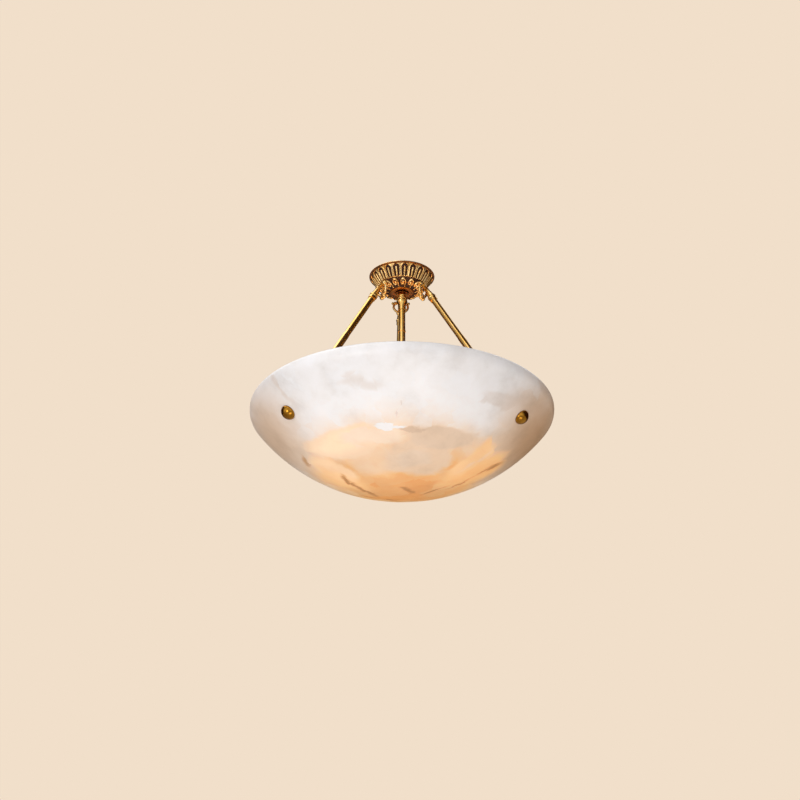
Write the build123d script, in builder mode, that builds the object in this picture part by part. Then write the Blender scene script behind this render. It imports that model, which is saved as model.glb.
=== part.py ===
from build123d import *
import os
from math import acos, atan2, cos, degrees, radians, sin, sqrt, tan

# Alabaster bowl pendant lamp: a stone bowl on three brass rods under a cast canopy.
# All sizes are millimetres. Z is up, the ceiling is at z = 0 and the lamp hangs below it.

# Bowl
bowl_radius = 250.0
bowl_depth = 141.0
bowl_wall = 12.0
bowl_shoulder = 19.0        # radius of the turn from the upright edge into the belly
bowl_edge = 10.2            # upright edge, from the rim down to the start of the shoulder
bowl_lip_out = 8.5
bowl_lip_in = 2.8
rim_drop = 252.0            # ceiling to the top of the rim

# Canopy
canopy_radius = 56.0
canopy_depth = 33.5
canopy_wall = 3.0
rim_height = 4.0
rim_step = 3.4
flute_bottom_radius = 40.4
flute_bottom_drop = 21.8
boss_radius = 20.5
boss_height = 2.2
flute_count = 21
flute_cut = 1.1
niche_head_share = 0.60     # width of a niche as a share of the pitch
niche_foot_share = 0.54
niche_head_gap = 1.4
niche_foot_gap = 1.6
tongue_share = 0.45         # width of the raised tongue as a share of its niche
tongue_head_share = 0.6     # its distance from the head, as a share of the niche's half width
rosette_count = 15
rosette_radius = 5.4
rosette_height = 2.0
rosette_taper = 20.0
rosette_eye_radius = 2.8
rosette_bead = 1.6
rosette_bead_height = 1.4
band_thickness = 1.2

# Rods and the way they are hung
rod_angles = (210.0, 330.0, 90.0)
front_angle = 270.0
flute_phase = 3.0           # turn of the niches against the front
pin_reach = 42.0
pin_drop = 30.0
pin_radius = 1.8
pin_gap = 0.15
pin_head_start = 14.0       # middle of the pin to the face of a head
pin_head_radius = 2.8
pin_head_length = 2.0
fork_arm_offset = 9.6
fork_arm_width = 4.2
fork_arm_bulge = 2.4
fork_arm_depth = 10.5       # pin to the widest place of the arms
fork_knob_radius = 3.2
fork_depth = 6.0
fork_lobe_radius = 4.6
fork_lobe_offset = 3.2
fork_lobe_drop = 21.5       # pin to the middle of the lobes
fork_lean = 10.0            # angle by which the foot of the fork leans to the axis
fork_bar = 6.0
fork_bite = 1.0             # depth to which the post runs into the fork
post_inner = 34.6
post_outer = 38.0
post_width = 6.4
post_gap = 0.25
root_reach = 36.3
root_stud_radius = 1.6
root_nut_flats = 6.4
root_nut_height = 2.6
root_stud_end = 1.0         # thread that stands out of the nut
eye_radius = 3.5
eye_width = 6.4
taper_start = 2.0           # pin to the upper end of the taper
taper_start_radius = 2.6
taper_end_radius = 6.1
taper_length = 27.0
ring_radius = 7.2
ring_length = 3.0
sleeve_radius = 6.5
sleeve_end = 37.5           # pin to the lower end of the sleeve
rod_radius = 5.25
rod_bore_radius = 4.2
rod_lower_radius = 5.7
rod_joint = 133.0           # pin to the joint in the tube
spigot_length = 8.0
spigot_gap = 0.15

# Feet, bolts and washers that hold the stone
bolt_inset = 38.0           # rim of the bowl to a bolt, seen from above
stud_radius = 3.0
stud_hole_radius = 4.5
foot_ball_radius = 7.5
foot_stand_off = 9.0        # inner wall to the middle of the ball
foot_flange_radius = 12.0
foot_flange = 3.0
foot_neck = 22.0
foot_collar_radius = 7.2
foot_collar = 3.0
foot_waist_radius = 5.4
stud_end = 7.0              # outside of the wall to the end of the stud
nut_bore_end = 8.0
washer_thickness = 1.0
washer_radius = 12.0
seat_radius = 13.2
seat_outside = 0.5
seat_inside = 0.4
dome_radius = 12.5
dome_height = 10.0
dome_edge = 1.6
nut_bore_gap = 0.3

# Ceiling fixing inside the canopy
strap_half_length = 46.0
strap_width = 20.0
strap_thickness = 2.0
strap_drop = 11.0           # ceiling to the underside of the lowered middle
strap_flat_half = 29.0
strap_joggle = 5.0
screw_spacing = 76.0
screw_hole_radius = 2.25
nipple_radius = 5.0
nipple_bore = 3.7
nipple_top = 3.5
nipple_bottom = 41.0
nut_flats = 14.0
nut_height = 4.5
terminal_length = 17.0
terminal_width = 14.0
terminal_height = 11.0
terminal_place = 10.0       # axis to the near end of the block
terminal_hole_radius = 1.8
terminal_screw_radius = 1.4
earth_screw_place = 18.0
earth_screw_radius = 2.0
earth_screw_head = 2.6
thread_gap = 0.2

# Stem
cup_radius = 11.3
cup_height = 2.2
bead_small = 6.7
bead_large = 8.3
bead_end = 0.7              # step at the ends of a bead
neck_radius = 6.5
bell_radius = 9.3
bell_end_radius = 6.8
bead_small_drop = 38.2
bead_large_drop = 43.4
neck_drop = 47.0
bell_drop = 49.0
bell_bottom = 66.0
bell_curve = 5.0            # widest place of the bell to the middle of its curve
stem_radius = 5.75
stem_bore = 4.6
stem_socket = 6.0
stem_joint_drop = 106.0
stem_joint_radius = 6.5
stem_joint_height = 2.0

# Lamps
lamp_drop = 300.0
hub_radius = 19.0
hub_height = 28.0
hub_wall = 3.0
hub_neck_radius = 9.0
hub_neck_height = 9.0
finial_radius = 7.0
finial_start = 55.0         # angle at which the ball leaves its neck
holder_radius = 19.5
holder_wall = 1.5
holder_start = 23.0
holder_length = 40.0
holder_stub_radius = 5.0
holder_stub_end = 2.0       # stub that stands inside the hub
core_floor = 6.0
core_gap = 0.3
cap_radius = 13.2
cap_length = 25.0
cap_contact_radius = 5.0
cap_contact = 2.0
cap_clearance = 0.5
cap_end_gap = 0.3
bulb_radius = 30.0
bulb_neck_radius = 12.6
bulb_length = 106.0
bulb_wall = 1.2
bulb_turn = 48.0            # angle at which the neck runs into the globe

# Bowl outline: a spherical belly that runs tangent into the shoulder
shoulder_z = -rim_drop - bowl_edge
shoulder_reach = bowl_radius - bowl_shoulder
belly_drop = bowl_depth - bowl_edge
belly_radius = (shoulder_reach**2 + belly_drop**2 - bowl_shoulder**2) / (2 * (belly_drop - bowl_shoulder))
belly_z = shoulder_z - belly_drop + belly_radius
bolt_reach = bowl_radius - bolt_inset
bolt_z = belly_z - sqrt(belly_radius**2 - bolt_reach**2)

# Seat of the rosette band on the canopy's lower slope, in radius and height
band_seat_upper = Vector(flute_bottom_radius - band_thickness, -flute_bottom_drop)
band_seat_lower = Vector(boss_radius, -canopy_depth + boss_height)
band_slope = (band_seat_lower - band_seat_upper).normalized()
band_lift = Vector(-band_slope.Y, band_slope.X)

# Places that follow from the sizes above
hub_top = -lamp_drop + hub_height / 2 + hub_wall + hub_neck_height
cap_start = holder_start + holder_wall + core_floor + cap_end_gap
cap_end = cap_start + cap_contact + cap_length
tan_half_turn = tan(radians(90 - bulb_turn) / 2)

os.makedirs("parts", exist_ok=True)


def save(builder, name):
    """Label a finished piece and write its STEP file."""
    builder.part.label = name
    export_step(builder.part, f"parts/{name}.step")


def radial(angle):
    """Unit vector that points away from the lamp's axis."""
    return Vector(cos(radians(angle)), sin(radians(angle)), 0)


def tangent(angle):
    """Unit vector across the radial plane."""
    return Vector(sin(radians(angle)), -cos(radians(angle)), 0)


def polar(reach, angle, height):
    """Point at a radius, an angle and a height."""
    return radial(angle) * reach + Vector(0, 0, height)


def side_plane(origin, along, angle):
    """Plane in the radial plane whose Y runs along a given direction."""
    across = along.cross(tangent(angle))
    return Plane(origin=origin, x_dir=across, z_dir=tangent(angle))


def bolt_axis(angle):
    """Outward direction square to the wall of the bowl at a bolt."""
    inward = Vector(0, 0, belly_z)
    return (polar(bolt_reach, angle, bolt_z) - inward).normalized()


def bolt_point(angle, distance):
    """Point on a bolt's axis, measured outwards from the outside of the wall."""
    return polar(bolt_reach, angle, bolt_z) + bolt_axis(angle) * distance


def pin_point(angle):
    """Middle of a pivot pin."""
    return polar(pin_reach, angle, -pin_drop)


def knee_point(angle):
    """Middle of the ball where a rod meets its bolt."""
    return bolt_point(angle, -bowl_wall - foot_stand_off)


def rod_axis(angle):
    """Direction of a rod, from its pin down to its foot."""
    return (knee_point(angle) - pin_point(angle)).normalized()


def rod_plane(angle):
    """Plane with its origin at the pin and its Y along the rod."""
    return side_plane(pin_point(angle), rod_axis(angle), angle)


def band_normal(angle):
    """Outward direction square to the canopy's lower slope."""
    return radial(angle) * band_lift.X + Vector(0, 0, band_lift.Y)


def band_height(reach):
    """Height of the band's outer face at a radius."""
    outer = band_seat_upper + band_lift * band_thickness
    return outer.Y + (reach - outer.X) * band_slope.Y / band_slope.X


def root_point(angle):
    """Place on the band's outer face where a hanger's stud passes."""
    return polar(root_reach, angle, band_height(root_reach))


rod_length = (knee_point(0) - pin_point(0)).length


def make_bowl():
    """Stone bowl, turned from one block, with three bolt holes and flat seats."""
    inner_shoulder = bowl_shoulder - bowl_wall
    inner_belly = belly_radius - bowl_wall
    turn = degrees(acos(shoulder_reach / (belly_radius - bowl_shoulder)))
    with BuildPart() as bowl:
        with BuildSketch(Plane.XZ):
            with BuildLine():
                Line((bowl_radius - bowl_wall, -rim_drop), (bowl_radius, -rim_drop))
                Line((bowl_radius, -rim_drop), (bowl_radius, shoulder_z))
                CenterArc((shoulder_reach, shoulder_z), bowl_shoulder, 0, -turn)
                CenterArc((0, belly_z), belly_radius, -turn, turn - 90)
                Line((0, belly_z - belly_radius), (0, belly_z - inner_belly))
                CenterArc((0, belly_z), inner_belly, -90, 90 - turn)
                CenterArc((shoulder_reach, shoulder_z), inner_shoulder, -turn, turn)
                Line((bowl_radius - bowl_wall, shoulder_z), (bowl_radius - bowl_wall, -rim_drop))
            make_face()
        revolve(axis=Axis.Z)
        rim_edges = bowl.edges().filter_by_position(Axis.Z, -rim_drop - 0.01, -rim_drop + 0.01)
        rim_edges = rim_edges.sort_by(SortBy.LENGTH)
        fillet(rim_edges[-1], bowl_lip_out)
        inner_rim = bowl.edges().filter_by_position(Axis.Z, -rim_drop - 0.01, -rim_drop + 0.01)
        fillet(inner_rim.sort_by(SortBy.LENGTH)[0], bowl_lip_in)
        for angle in rod_angles:
            axis = bolt_axis(angle)
            with BuildSketch(Plane(origin=bolt_point(angle, -2 * bowl_wall), z_dir=axis)):
                Circle(stud_hole_radius)
            extrude(amount=3 * bowl_wall, mode=Mode.SUBTRACT)
            with BuildSketch(Plane(origin=bolt_point(angle, -seat_outside), z_dir=axis)):
                Circle(seat_radius)
            extrude(amount=bowl_wall, mode=Mode.SUBTRACT)
            with BuildSketch(Plane(origin=bolt_point(angle, seat_inside - bowl_wall), z_dir=-axis)):
                Circle(seat_radius)
            extrude(amount=foot_stand_off, mode=Mode.SUBTRACT)
    save(bowl, "bowl")


def make_canopy():
    """Cast canopy: rim moulding, fluted cone with arched niches, band seat and bottom boss."""
    flute_top_radius = canopy_radius - rim_step
    cone = Vector(flute_bottom_radius - flute_top_radius, rim_height - flute_bottom_drop).normalized()
    inner_top = flute_top_radius - canopy_wall
    upper = band_seat_upper - band_lift * canopy_wall
    lower = band_seat_lower - band_lift * canopy_wall
    with BuildPart() as canopy:
        with BuildSketch(Plane.XZ):
            with BuildLine():
                Polyline(
                    (canopy_radius - canopy_wall, 0),
                    (canopy_radius, 0),
                    (canopy_radius, -rim_height / 2),
                    (canopy_radius - rim_height / 2, -rim_height),
                    (flute_top_radius, -rim_height),
                    (flute_bottom_radius, -flute_bottom_drop),
                    (band_seat_upper.X, band_seat_upper.Y),
                    (band_seat_lower.X, band_seat_lower.Y),
                    (boss_radius, -canopy_depth),
                    (nipple_radius + thread_gap, -canopy_depth),
                    (nipple_radius + thread_gap, lower.Y),
                    (lower.X, lower.Y),
                    (upper.X, upper.Y),
                    (inner_top, -rim_height),
                    close=True,
                )
            make_face()
        revolve(axis=Axis.Z)
        corner_z = -rim_height / 2
        rim_corner = canopy.edges().filter_by_position(Axis.Z, corner_z - 0.01, corner_z + 0.01)
        fillet(rim_corner, rim_height / 4)
        middle_radius = (flute_top_radius + flute_bottom_radius) / 2
        middle_z = -(rim_height + flute_bottom_drop) / 2
        slope_in = flute_top_radius - flute_bottom_radius
        slope_length = sqrt(slope_in**2 + (flute_bottom_drop - rim_height)**2)
        pitch = 360 / flute_count
        head_half = 2 * flute_top_radius * sin(radians(pitch / 2)) * niche_head_share / 2
        foot_half = 2 * flute_bottom_radius * sin(radians(pitch / 2)) * niche_foot_share / 2
        low = -slope_length / 2 + niche_foot_gap
        high = slope_length / 2 - niche_head_gap
        for index in range(flute_count):
            angle = front_angle + flute_phase + index * pitch
            outward = radial(angle) * -cone.Y + Vector(0, 0, cone.X)
            seat = polar(middle_radius, angle, middle_z) + outward * -flute_cut
            with BuildSketch(Plane(origin=seat, x_dir=tangent(angle), z_dir=outward)):
                with BuildLine():
                    arch(foot_half, head_half, low, high)
                make_face()
                with BuildLine():
                    tongue_head = high - head_half * tongue_head_share
                    arch(foot_half * tongue_share, head_half * tongue_share, low - flute_cut, tongue_head)
                make_face(mode=Mode.SUBTRACT)
            extrude(amount=3 * flute_cut, mode=Mode.SUBTRACT)
        with BuildSketch(*root_planes()):
            Circle(root_stud_radius + thread_gap)
        extrude(amount=2 * canopy_wall, both=True, mode=Mode.SUBTRACT)
    save(canopy, "canopy")


def arch(foot_half, top_half, low, high):
    """Round-headed opening that widens upwards."""
    spring = high - top_half
    Line((foot_half, low), (top_half, spring))
    CenterArc((0, spring), top_half, 0, 180)
    Polyline((-top_half, spring), (-foot_half, low), (foot_half, low))


def root_planes():
    """Planes on the band's outer face, square to the stud of each hanger."""
    return [Plane(origin=root_point(angle), z_dir=-band_normal(angle)) for angle in rod_angles]


def make_rosette_band():
    """Cast ring on the canopy's lower slope, with a row of rosettes."""
    outer_upper = band_seat_upper + band_lift * band_thickness
    outer_lower = band_seat_lower + band_lift * band_thickness
    centre = (band_seat_upper + band_seat_lower) * 0.5
    root = band_lift * (band_thickness / 2)
    planes = []
    for index in range(rosette_count):
        angle = front_angle + index * 360 / rosette_count
        origin = polar(centre.X + root.X, angle, centre.Y + root.Y)
        planes.append(Plane(origin=origin, x_dir=tangent(angle), z_dir=band_normal(angle)))
    with BuildPart() as band:
        with BuildSketch(Plane.XZ):
            with BuildLine():
                Polyline(
                    (band_seat_upper.X, band_seat_upper.Y),
                    (flute_bottom_radius, band_seat_upper.Y),
                    (outer_upper.X, outer_upper.Y),
                    (outer_lower.X, outer_lower.Y),
                    (boss_radius, outer_lower.Y),
                    (band_seat_lower.X, band_seat_lower.Y),
                    close=True,
                )
            make_face()
        revolve(axis=Axis.Z)
        with BuildSketch(*planes):
            Circle(rosette_radius)
            Circle(rosette_eye_radius, mode=Mode.SUBTRACT)
        extrude(amount=band_thickness / 2 + rosette_height, taper=rosette_taper)
        with BuildSketch(*planes):
            Circle(rosette_bead)
        extrude(amount=band_thickness / 2 + rosette_bead_height, taper=rosette_taper)
        with BuildSketch(*root_planes()):
            Circle(root_stud_radius + thread_gap)
        extrude(amount=2 * canopy_wall, both=True, mode=Mode.SUBTRACT)
    save(band, "rosette_band")


def make_hanger(number, angle):
    """Cast hanger: a lyre-shaped fork on a post that is bolted through the canopy."""
    lean = radians(fork_lean)
    forward = radial(angle) * cos(lean) - Vector(0, 0, sin(lean))
    fork_plane = Plane(origin=pin_point(angle), x_dir=-tangent(angle), z_dir=forward)
    foot_reach = pin_reach - fork_lobe_drop * sin(lean)
    foot_z = -pin_drop - fork_lobe_drop * cos(lean)
    root = root_point(angle)
    with BuildPart() as hanger:
        with BuildSketch(fork_plane):
            for side in (-1, 1):
                with BuildLine():
                    ThreePointArc(
                        (side * fork_arm_offset, 0),
                        (side * (fork_arm_offset + fork_arm_bulge), -fork_arm_depth),
                        (side * fork_lobe_offset, -fork_lobe_drop + fork_arm_width / 2),
                    )
                trace(line_width=fork_arm_width)
            with Locations((-fork_arm_offset, 0), (fork_arm_offset, 0)):
                Circle(fork_knob_radius)
            with Locations((-fork_lobe_offset, -fork_lobe_drop), (fork_lobe_offset, -fork_lobe_drop)):
                Circle(fork_lobe_radius)
            with Locations((0, -fork_lobe_drop + fork_bar / 2)):
                Rectangle(2 * fork_lobe_offset, fork_bar)
        extrude(amount=fork_depth / 2, both=True)
        with BuildSketch(Plane(origin=(0, 0, 0), x_dir=radial(angle), z_dir=tangent(angle))):
            with BuildLine():
                Polyline(
                    (post_inner, band_height(post_inner) - post_gap),
                    (post_outer, band_height(post_outer) - post_gap),
                    (post_outer, foot_z + fork_bar),
                    (foot_reach, foot_z),
                    (post_inner + fork_bite, foot_z),
                    (post_inner, foot_z + fork_bar / 2),
                    close=True,
                )
            make_face()
        extrude(amount=post_width / 2, both=True)
        stud_length = band_thickness + canopy_wall + root_nut_height + root_stud_end
        with BuildSketch(Plane(origin=root + band_normal(angle) * fork_bite, z_dir=-band_normal(angle))):
            Circle(root_stud_radius)
        extrude(amount=stud_length + fork_bite)
        with BuildSketch(Plane(origin=pin_point(angle), z_dir=tangent(angle))):
            Circle(pin_radius + pin_gap)
        extrude(amount=fork_arm_offset + fork_arm_width, both=True, mode=Mode.SUBTRACT)
    save(hanger, f"hanger_{number}")


def cap_arc(radius, start, rise):
    """Arc of a shallow dome, from its edge to its crown on the axis."""
    sphere = (radius**2 + rise**2) / (2 * rise)
    edge_angle = degrees(atan2(sphere - rise, radius))
    return CenterArc((0, start + rise - sphere), sphere, edge_angle, 90 - edge_angle)


def make_hanger_nuts():
    """Hexagon nuts inside the canopy, one on the stud of each hanger."""
    planes = [plane.offset(band_thickness + canopy_wall + post_gap) for plane in root_planes()]
    with BuildPart() as nuts:
        with BuildSketch(*planes):
            RegularPolygon(root_nut_flats / 2, 6, major_radius=False)
            Circle(root_stud_radius + pin_gap, mode=Mode.SUBTRACT)
        extrude(amount=root_nut_height)
    save(nuts, "hanger_nuts")


def make_pivot_pin(number, angle):
    """Pin across the fork, with a rounded head at each end."""
    axis = Axis(pin_point(angle), tangent(angle))
    plane = side_plane(pin_point(angle), tangent(angle), angle + 90)
    with BuildPart() as pin:
        with BuildSketch(plane):
            with BuildLine():
                Polyline(
                    (0, 0),
                    (pin_radius, 0),
                    (pin_radius, pin_head_start),
                    (pin_head_radius, pin_head_start),
                )
                cap = cap_arc(pin_head_radius, pin_head_start, pin_head_length)
                Line(cap @ 1, (0, 0))
            make_face()
            mirror(about=Plane.XZ)
        revolve(axis=axis)
    save(pin, f"pivot_pin_{number}")


def make_rod_end(number, angle):
    """Upper end of a rod: eye, taper, ring and sleeve, with a spigot for the tube."""
    with BuildPart() as rod_end:
        with BuildSketch(rod_plane(angle)):
            with BuildLine():
                Polyline(
                    (0, taper_start),
                    (taper_start_radius, taper_start),
                    (taper_end_radius, taper_start + taper_length - ring_length / 2),
                    (ring_radius, taper_start + taper_length - ring_length / 4),
                    (ring_radius, taper_start + taper_length + ring_length / 2),
                    (sleeve_radius, taper_start + taper_length + ring_length),
                    (sleeve_radius, sleeve_end),
                    (rod_bore_radius - spigot_gap, sleeve_end),
                    (rod_bore_radius - spigot_gap, sleeve_end + spigot_length),
                    (0, sleeve_end + spigot_length),
                    close=True,
                )
            make_face()
        revolve(axis=Axis(pin_point(angle), rod_axis(angle)))
        with BuildSketch(Plane(origin=pin_point(angle), z_dir=tangent(angle))):
            Circle(eye_radius)
        extrude(amount=eye_width / 2, both=True)
        with BuildSketch(Plane(origin=pin_point(angle), z_dir=tangent(angle))):
            Circle(pin_radius + pin_gap)
        extrude(amount=eye_width, both=True, mode=Mode.SUBTRACT)
    save(rod_end, f"rod_end_{number}")


def make_rod_tube(number, angle):
    """Straight brass tube in two drawn lengths, the lower one a little stouter."""
    with BuildPart() as tube:
        with BuildSketch(rod_plane(angle)):
            with BuildLine():
                Polyline(
                    (rod_bore_radius, sleeve_end),
                    (rod_radius, sleeve_end),
                    (rod_radius, rod_joint),
                    (rod_lower_radius, rod_joint),
                    (rod_lower_radius, rod_length - foot_neck),
                    (rod_bore_radius, rod_length - foot_neck),
                    close=True,
                )
            make_face()
        revolve(axis=Axis(pin_point(angle), rod_axis(angle)))
    save(tube, f"rod_tube_{number}")


def make_rod_foot(number, angle):
    """Turned foot: neck, ball and flange, with the stud that passes through the stone."""
    top = rod_length - foot_neck
    flange_face = -bowl_wall + seat_inside - washer_thickness
    with BuildPart() as foot:
        with BuildSketch(rod_plane(angle)):
            with BuildLine():
                Polyline(
                    (0, top - spigot_length),
                    (rod_bore_radius - spigot_gap, top - spigot_length),
                    (rod_bore_radius - spigot_gap, top),
                    (foot_collar_radius, top),
                    (foot_collar_radius, top + foot_collar),
                    (foot_waist_radius, top + 2 * foot_collar),
                    (foot_waist_radius, rod_length),
                    (0, rod_length),
                    close=True,
                )
            make_face()
        revolve(axis=Axis(pin_point(angle), rod_axis(angle)))
        add(Sphere(foot_ball_radius, mode=Mode.PRIVATE).moved(Location(knee_point(angle))))
        with BuildSketch(Plane(origin=bolt_point(angle, flange_face), z_dir=-bolt_axis(angle))):
            Circle(foot_flange_radius)
        extrude(amount=foot_flange)
        with BuildSketch(Plane(origin=knee_point(angle), z_dir=bolt_axis(angle))):
            Circle(stud_radius)
        extrude(amount=bowl_wall + foot_stand_off + stud_end)
    save(foot, f"rod_foot_{number}")


def make_washers(name, distance):
    """Soft washers on one side of the stone, one at each bolt."""
    planes = [Plane(origin=bolt_point(angle, distance), z_dir=bolt_axis(angle)) for angle in rod_angles]
    with BuildPart() as washers:
        with BuildSketch(*planes):
            Circle(washer_radius)
            Circle(stud_radius + nut_bore_gap, mode=Mode.SUBTRACT)
        extrude(amount=washer_thickness)
    save(washers, name)


def make_dome_nut(number, angle):
    """Polished domed nut with a blind bore, screwed on a stud outside the bowl."""
    base = washer_thickness - seat_outside
    bore = stud_radius + nut_bore_gap
    with BuildPart() as nut:
        with BuildSketch(side_plane(bolt_point(angle, 0), bolt_axis(angle), angle)):
            with BuildLine():
                Polyline((bore, base), (dome_radius, base), (dome_radius, base + dome_edge))
                cap_arc(dome_radius, base + dome_edge, dome_height - dome_edge)
                Polyline((0, base + dome_height), (0, nut_bore_end), (bore, nut_bore_end), (bore, base))
            make_face()
        revolve(axis=Axis(bolt_point(angle, 0), bolt_axis(angle)))
    save(nut, f"dome_nut_{number}")


def make_ceiling_bracket():
    """Joggled steel strap, with two screw holes and a middle hole for the nipple."""
    middle_top = -strap_drop + strap_thickness
    bend = atan2(-middle_top, strap_joggle) / 2
    shift = strap_thickness * sin(bend) / cos(bend)
    shoulder = strap_flat_half + strap_joggle
    with BuildPart() as bracket:
        with BuildSketch(Plane.XZ):
            with BuildLine():
                Polyline(
                    (0, middle_top),
                    (strap_flat_half, middle_top),
                    (shoulder, 0),
                    (strap_half_length, 0),
                    (strap_half_length, -strap_thickness),
                    (shoulder + shift, -strap_thickness),
                    (strap_flat_half + shift, -strap_drop),
                    (0, -strap_drop),
                    close=True,
                )
            make_face()
            mirror(about=Plane.YZ)
        extrude(amount=strap_width / 2, both=True)
        corners = bracket.edges().filter_by(Axis.Z).group_by(SortBy.LENGTH)[0]
        fillet(corners, strap_width / 5)
        with BuildSketch(Plane.XY.offset(-strap_drop)):
            Circle(nipple_radius + thread_gap)
            with Locations((-screw_spacing / 2, 0), (screw_spacing / 2, 0)):
                Circle(screw_hole_radius)
            with Locations((-earth_screw_place, 0)):
                Circle(earth_screw_radius + pin_gap)
        extrude(amount=strap_drop, mode=Mode.SUBTRACT)
    save(bracket, "ceiling_bracket")


def make_earth_screw():
    """Pan-head earth screw under the strap."""
    with BuildPart() as screw:
        with BuildSketch(Plane.XY.offset(-strap_drop)):
            with Locations((-earth_screw_place, 0)):
                Circle(2 * earth_screw_radius)
        extrude(amount=-earth_screw_head)
        with BuildSketch(Plane.XY.offset(-strap_drop)):
            with Locations((-earth_screw_place, 0)):
                Circle(earth_screw_radius)
        extrude(amount=2 * strap_thickness)
        with BuildSketch(Plane.XY.offset(-strap_drop - earth_screw_head)):
            with Locations((-earth_screw_place, 0)):
                Rectangle(4 * earth_screw_radius, earth_screw_radius / 2)
        extrude(amount=earth_screw_head / 3, mode=Mode.SUBTRACT)
    save(screw, "earth_screw")


def make_nipple():
    """Threaded tube that carries the lamp and lets the wires through."""
    with BuildPart() as nipple:
        with BuildSketch(Plane.XY.offset(-nipple_bottom)):
            Circle(nipple_radius)
            Circle(nipple_bore, mode=Mode.SUBTRACT)
        extrude(amount=nipple_bottom - nipple_top)
    save(nipple, "nipple")


def make_nipple_nuts():
    """Two hexagon nuts that clamp the nipple to the strap."""
    seats = (-strap_drop + strap_thickness, -strap_drop - nut_height)
    with BuildPart() as nuts:
        with BuildSketch(*[Plane.XY.offset(height) for height in seats]):
            RegularPolygon(nut_flats / 2, 6, major_radius=False)
            Circle(nipple_radius + thread_gap, mode=Mode.SUBTRACT)
        extrude(amount=nut_height)
    save(nuts, "nipple_nuts")


def make_terminal_block():
    """Two-pole terminal block under the strap."""
    middle = terminal_place + terminal_length / 2
    pole = terminal_width / 4
    with BuildPart() as block:
        with BuildSketch(Plane.XY.offset(-strap_drop - terminal_height)):
            with Locations((middle, 0)):
                Rectangle(terminal_length, terminal_width)
        extrude(amount=terminal_height)
        with BuildSketch(Plane.YZ.offset(terminal_place)):
            hole_z = -strap_drop - terminal_height / 2
            with Locations((-pole, hole_z), (pole, hole_z)):
                Circle(terminal_hole_radius)
        extrude(amount=terminal_length, mode=Mode.SUBTRACT)
        with BuildSketch(Plane.XY.offset(-strap_drop - terminal_height)):
            with Locations((middle, 0)):
                with GridLocations(terminal_length / 2, 2 * pole, 2, 2):
                    Circle(terminal_screw_radius)
        extrude(amount=terminal_height / 3, mode=Mode.SUBTRACT)
    save(block, "terminal_block")


def make_stem_cup():
    """Flared cup between the canopy and the stem."""
    top = -canopy_depth
    rim = top - cup_height
    edge = cup_height / 3
    bore = nipple_radius + thread_gap
    with BuildPart() as cup:
        with BuildSketch(Plane.XZ):
            with BuildLine():
                Polyline(
                    (bore, top),
                    (cup_radius - cup_height, top),
                    (cup_radius, rim + edge),
                    (cup_radius, rim),
                    (cup_radius - edge, rim),
                    (cup_radius - cup_height - edge, top - edge),
                    (bead_small, top - edge),
                    (bead_small, rim),
                    (bore, rim),
                    close=True,
                )
            make_face()
        revolve(axis=Axis.Z)
    save(cup, "stem_cup")


def make_stem_bead():
    """Turned top of the stem: two beads, a neck and a bell that takes the tube."""
    top = -canopy_depth - cup_height
    bore = nipple_radius + thread_gap
    bead_gap = (bead_large_drop - bead_small_drop) / 2
    tube_end = -bell_bottom + stem_socket
    with BuildPart() as bead:
        with BuildSketch(Plane.XZ):
            with BuildLine():
                Line((bore, top), (bead_small - bead_end, top))
                ThreePointArc(
                    (bead_small - bead_end, top),
                    (bead_small, -bead_small_drop),
                    (bead_small - bead_end, -bead_small_drop - bead_gap),
                )
                ThreePointArc(
                    (bead_small - bead_end, -bead_small_drop - bead_gap),
                    (bead_large, -bead_large_drop),
                    (neck_radius, -neck_drop + bead_end),
                )
                Polyline(
                    (neck_radius, -neck_drop + bead_end),
                    (neck_radius, -neck_drop - bead_end),
                    (bell_radius, -bell_drop + bead_end),
                    (bell_radius, -bell_drop - bead_end),
                )
                ThreePointArc(
                    (bell_radius, -bell_drop - bead_end),
                    (bell_end_radius + bead_end, -bell_drop - bell_curve),
                    (bell_end_radius, tube_end + bead_end),
                )
                Polyline(
                    (bell_end_radius, tube_end + bead_end),
                    (bell_end_radius, -bell_bottom),
                    (stem_radius + spigot_gap, -bell_bottom),
                    (stem_radius + spigot_gap, tube_end),
                    (nipple_bore, tube_end),
                    (nipple_bore, -nipple_bottom - bead_end),
                    (bore, -nipple_bottom - bead_end),
                    (bore, top),
                )
            make_face()
        revolve(axis=Axis.Z)
    save(bead, "stem_bead")


def make_stem_tube():
    """Straight tube from the bell down to the hub, with a thin joint ring."""
    top = -bell_bottom + stem_socket
    foot = hub_top - hub_neck_height
    with BuildPart() as tube:
        with BuildSketch(Plane.XZ):
            with BuildLine():
                Polyline(
                    (stem_bore, top),
                    (stem_radius, top),
                    (stem_radius, -stem_joint_drop),
                    (stem_joint_radius, -stem_joint_drop),
                    (stem_joint_radius, -stem_joint_drop - stem_joint_height),
                    (stem_radius, -stem_joint_drop - stem_joint_height),
                    (stem_radius, foot),
                    (stem_bore, foot),
                    close=True,
                )
            make_face()
        revolve(axis=Axis.Z)
    save(tube, "stem_tube")


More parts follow.
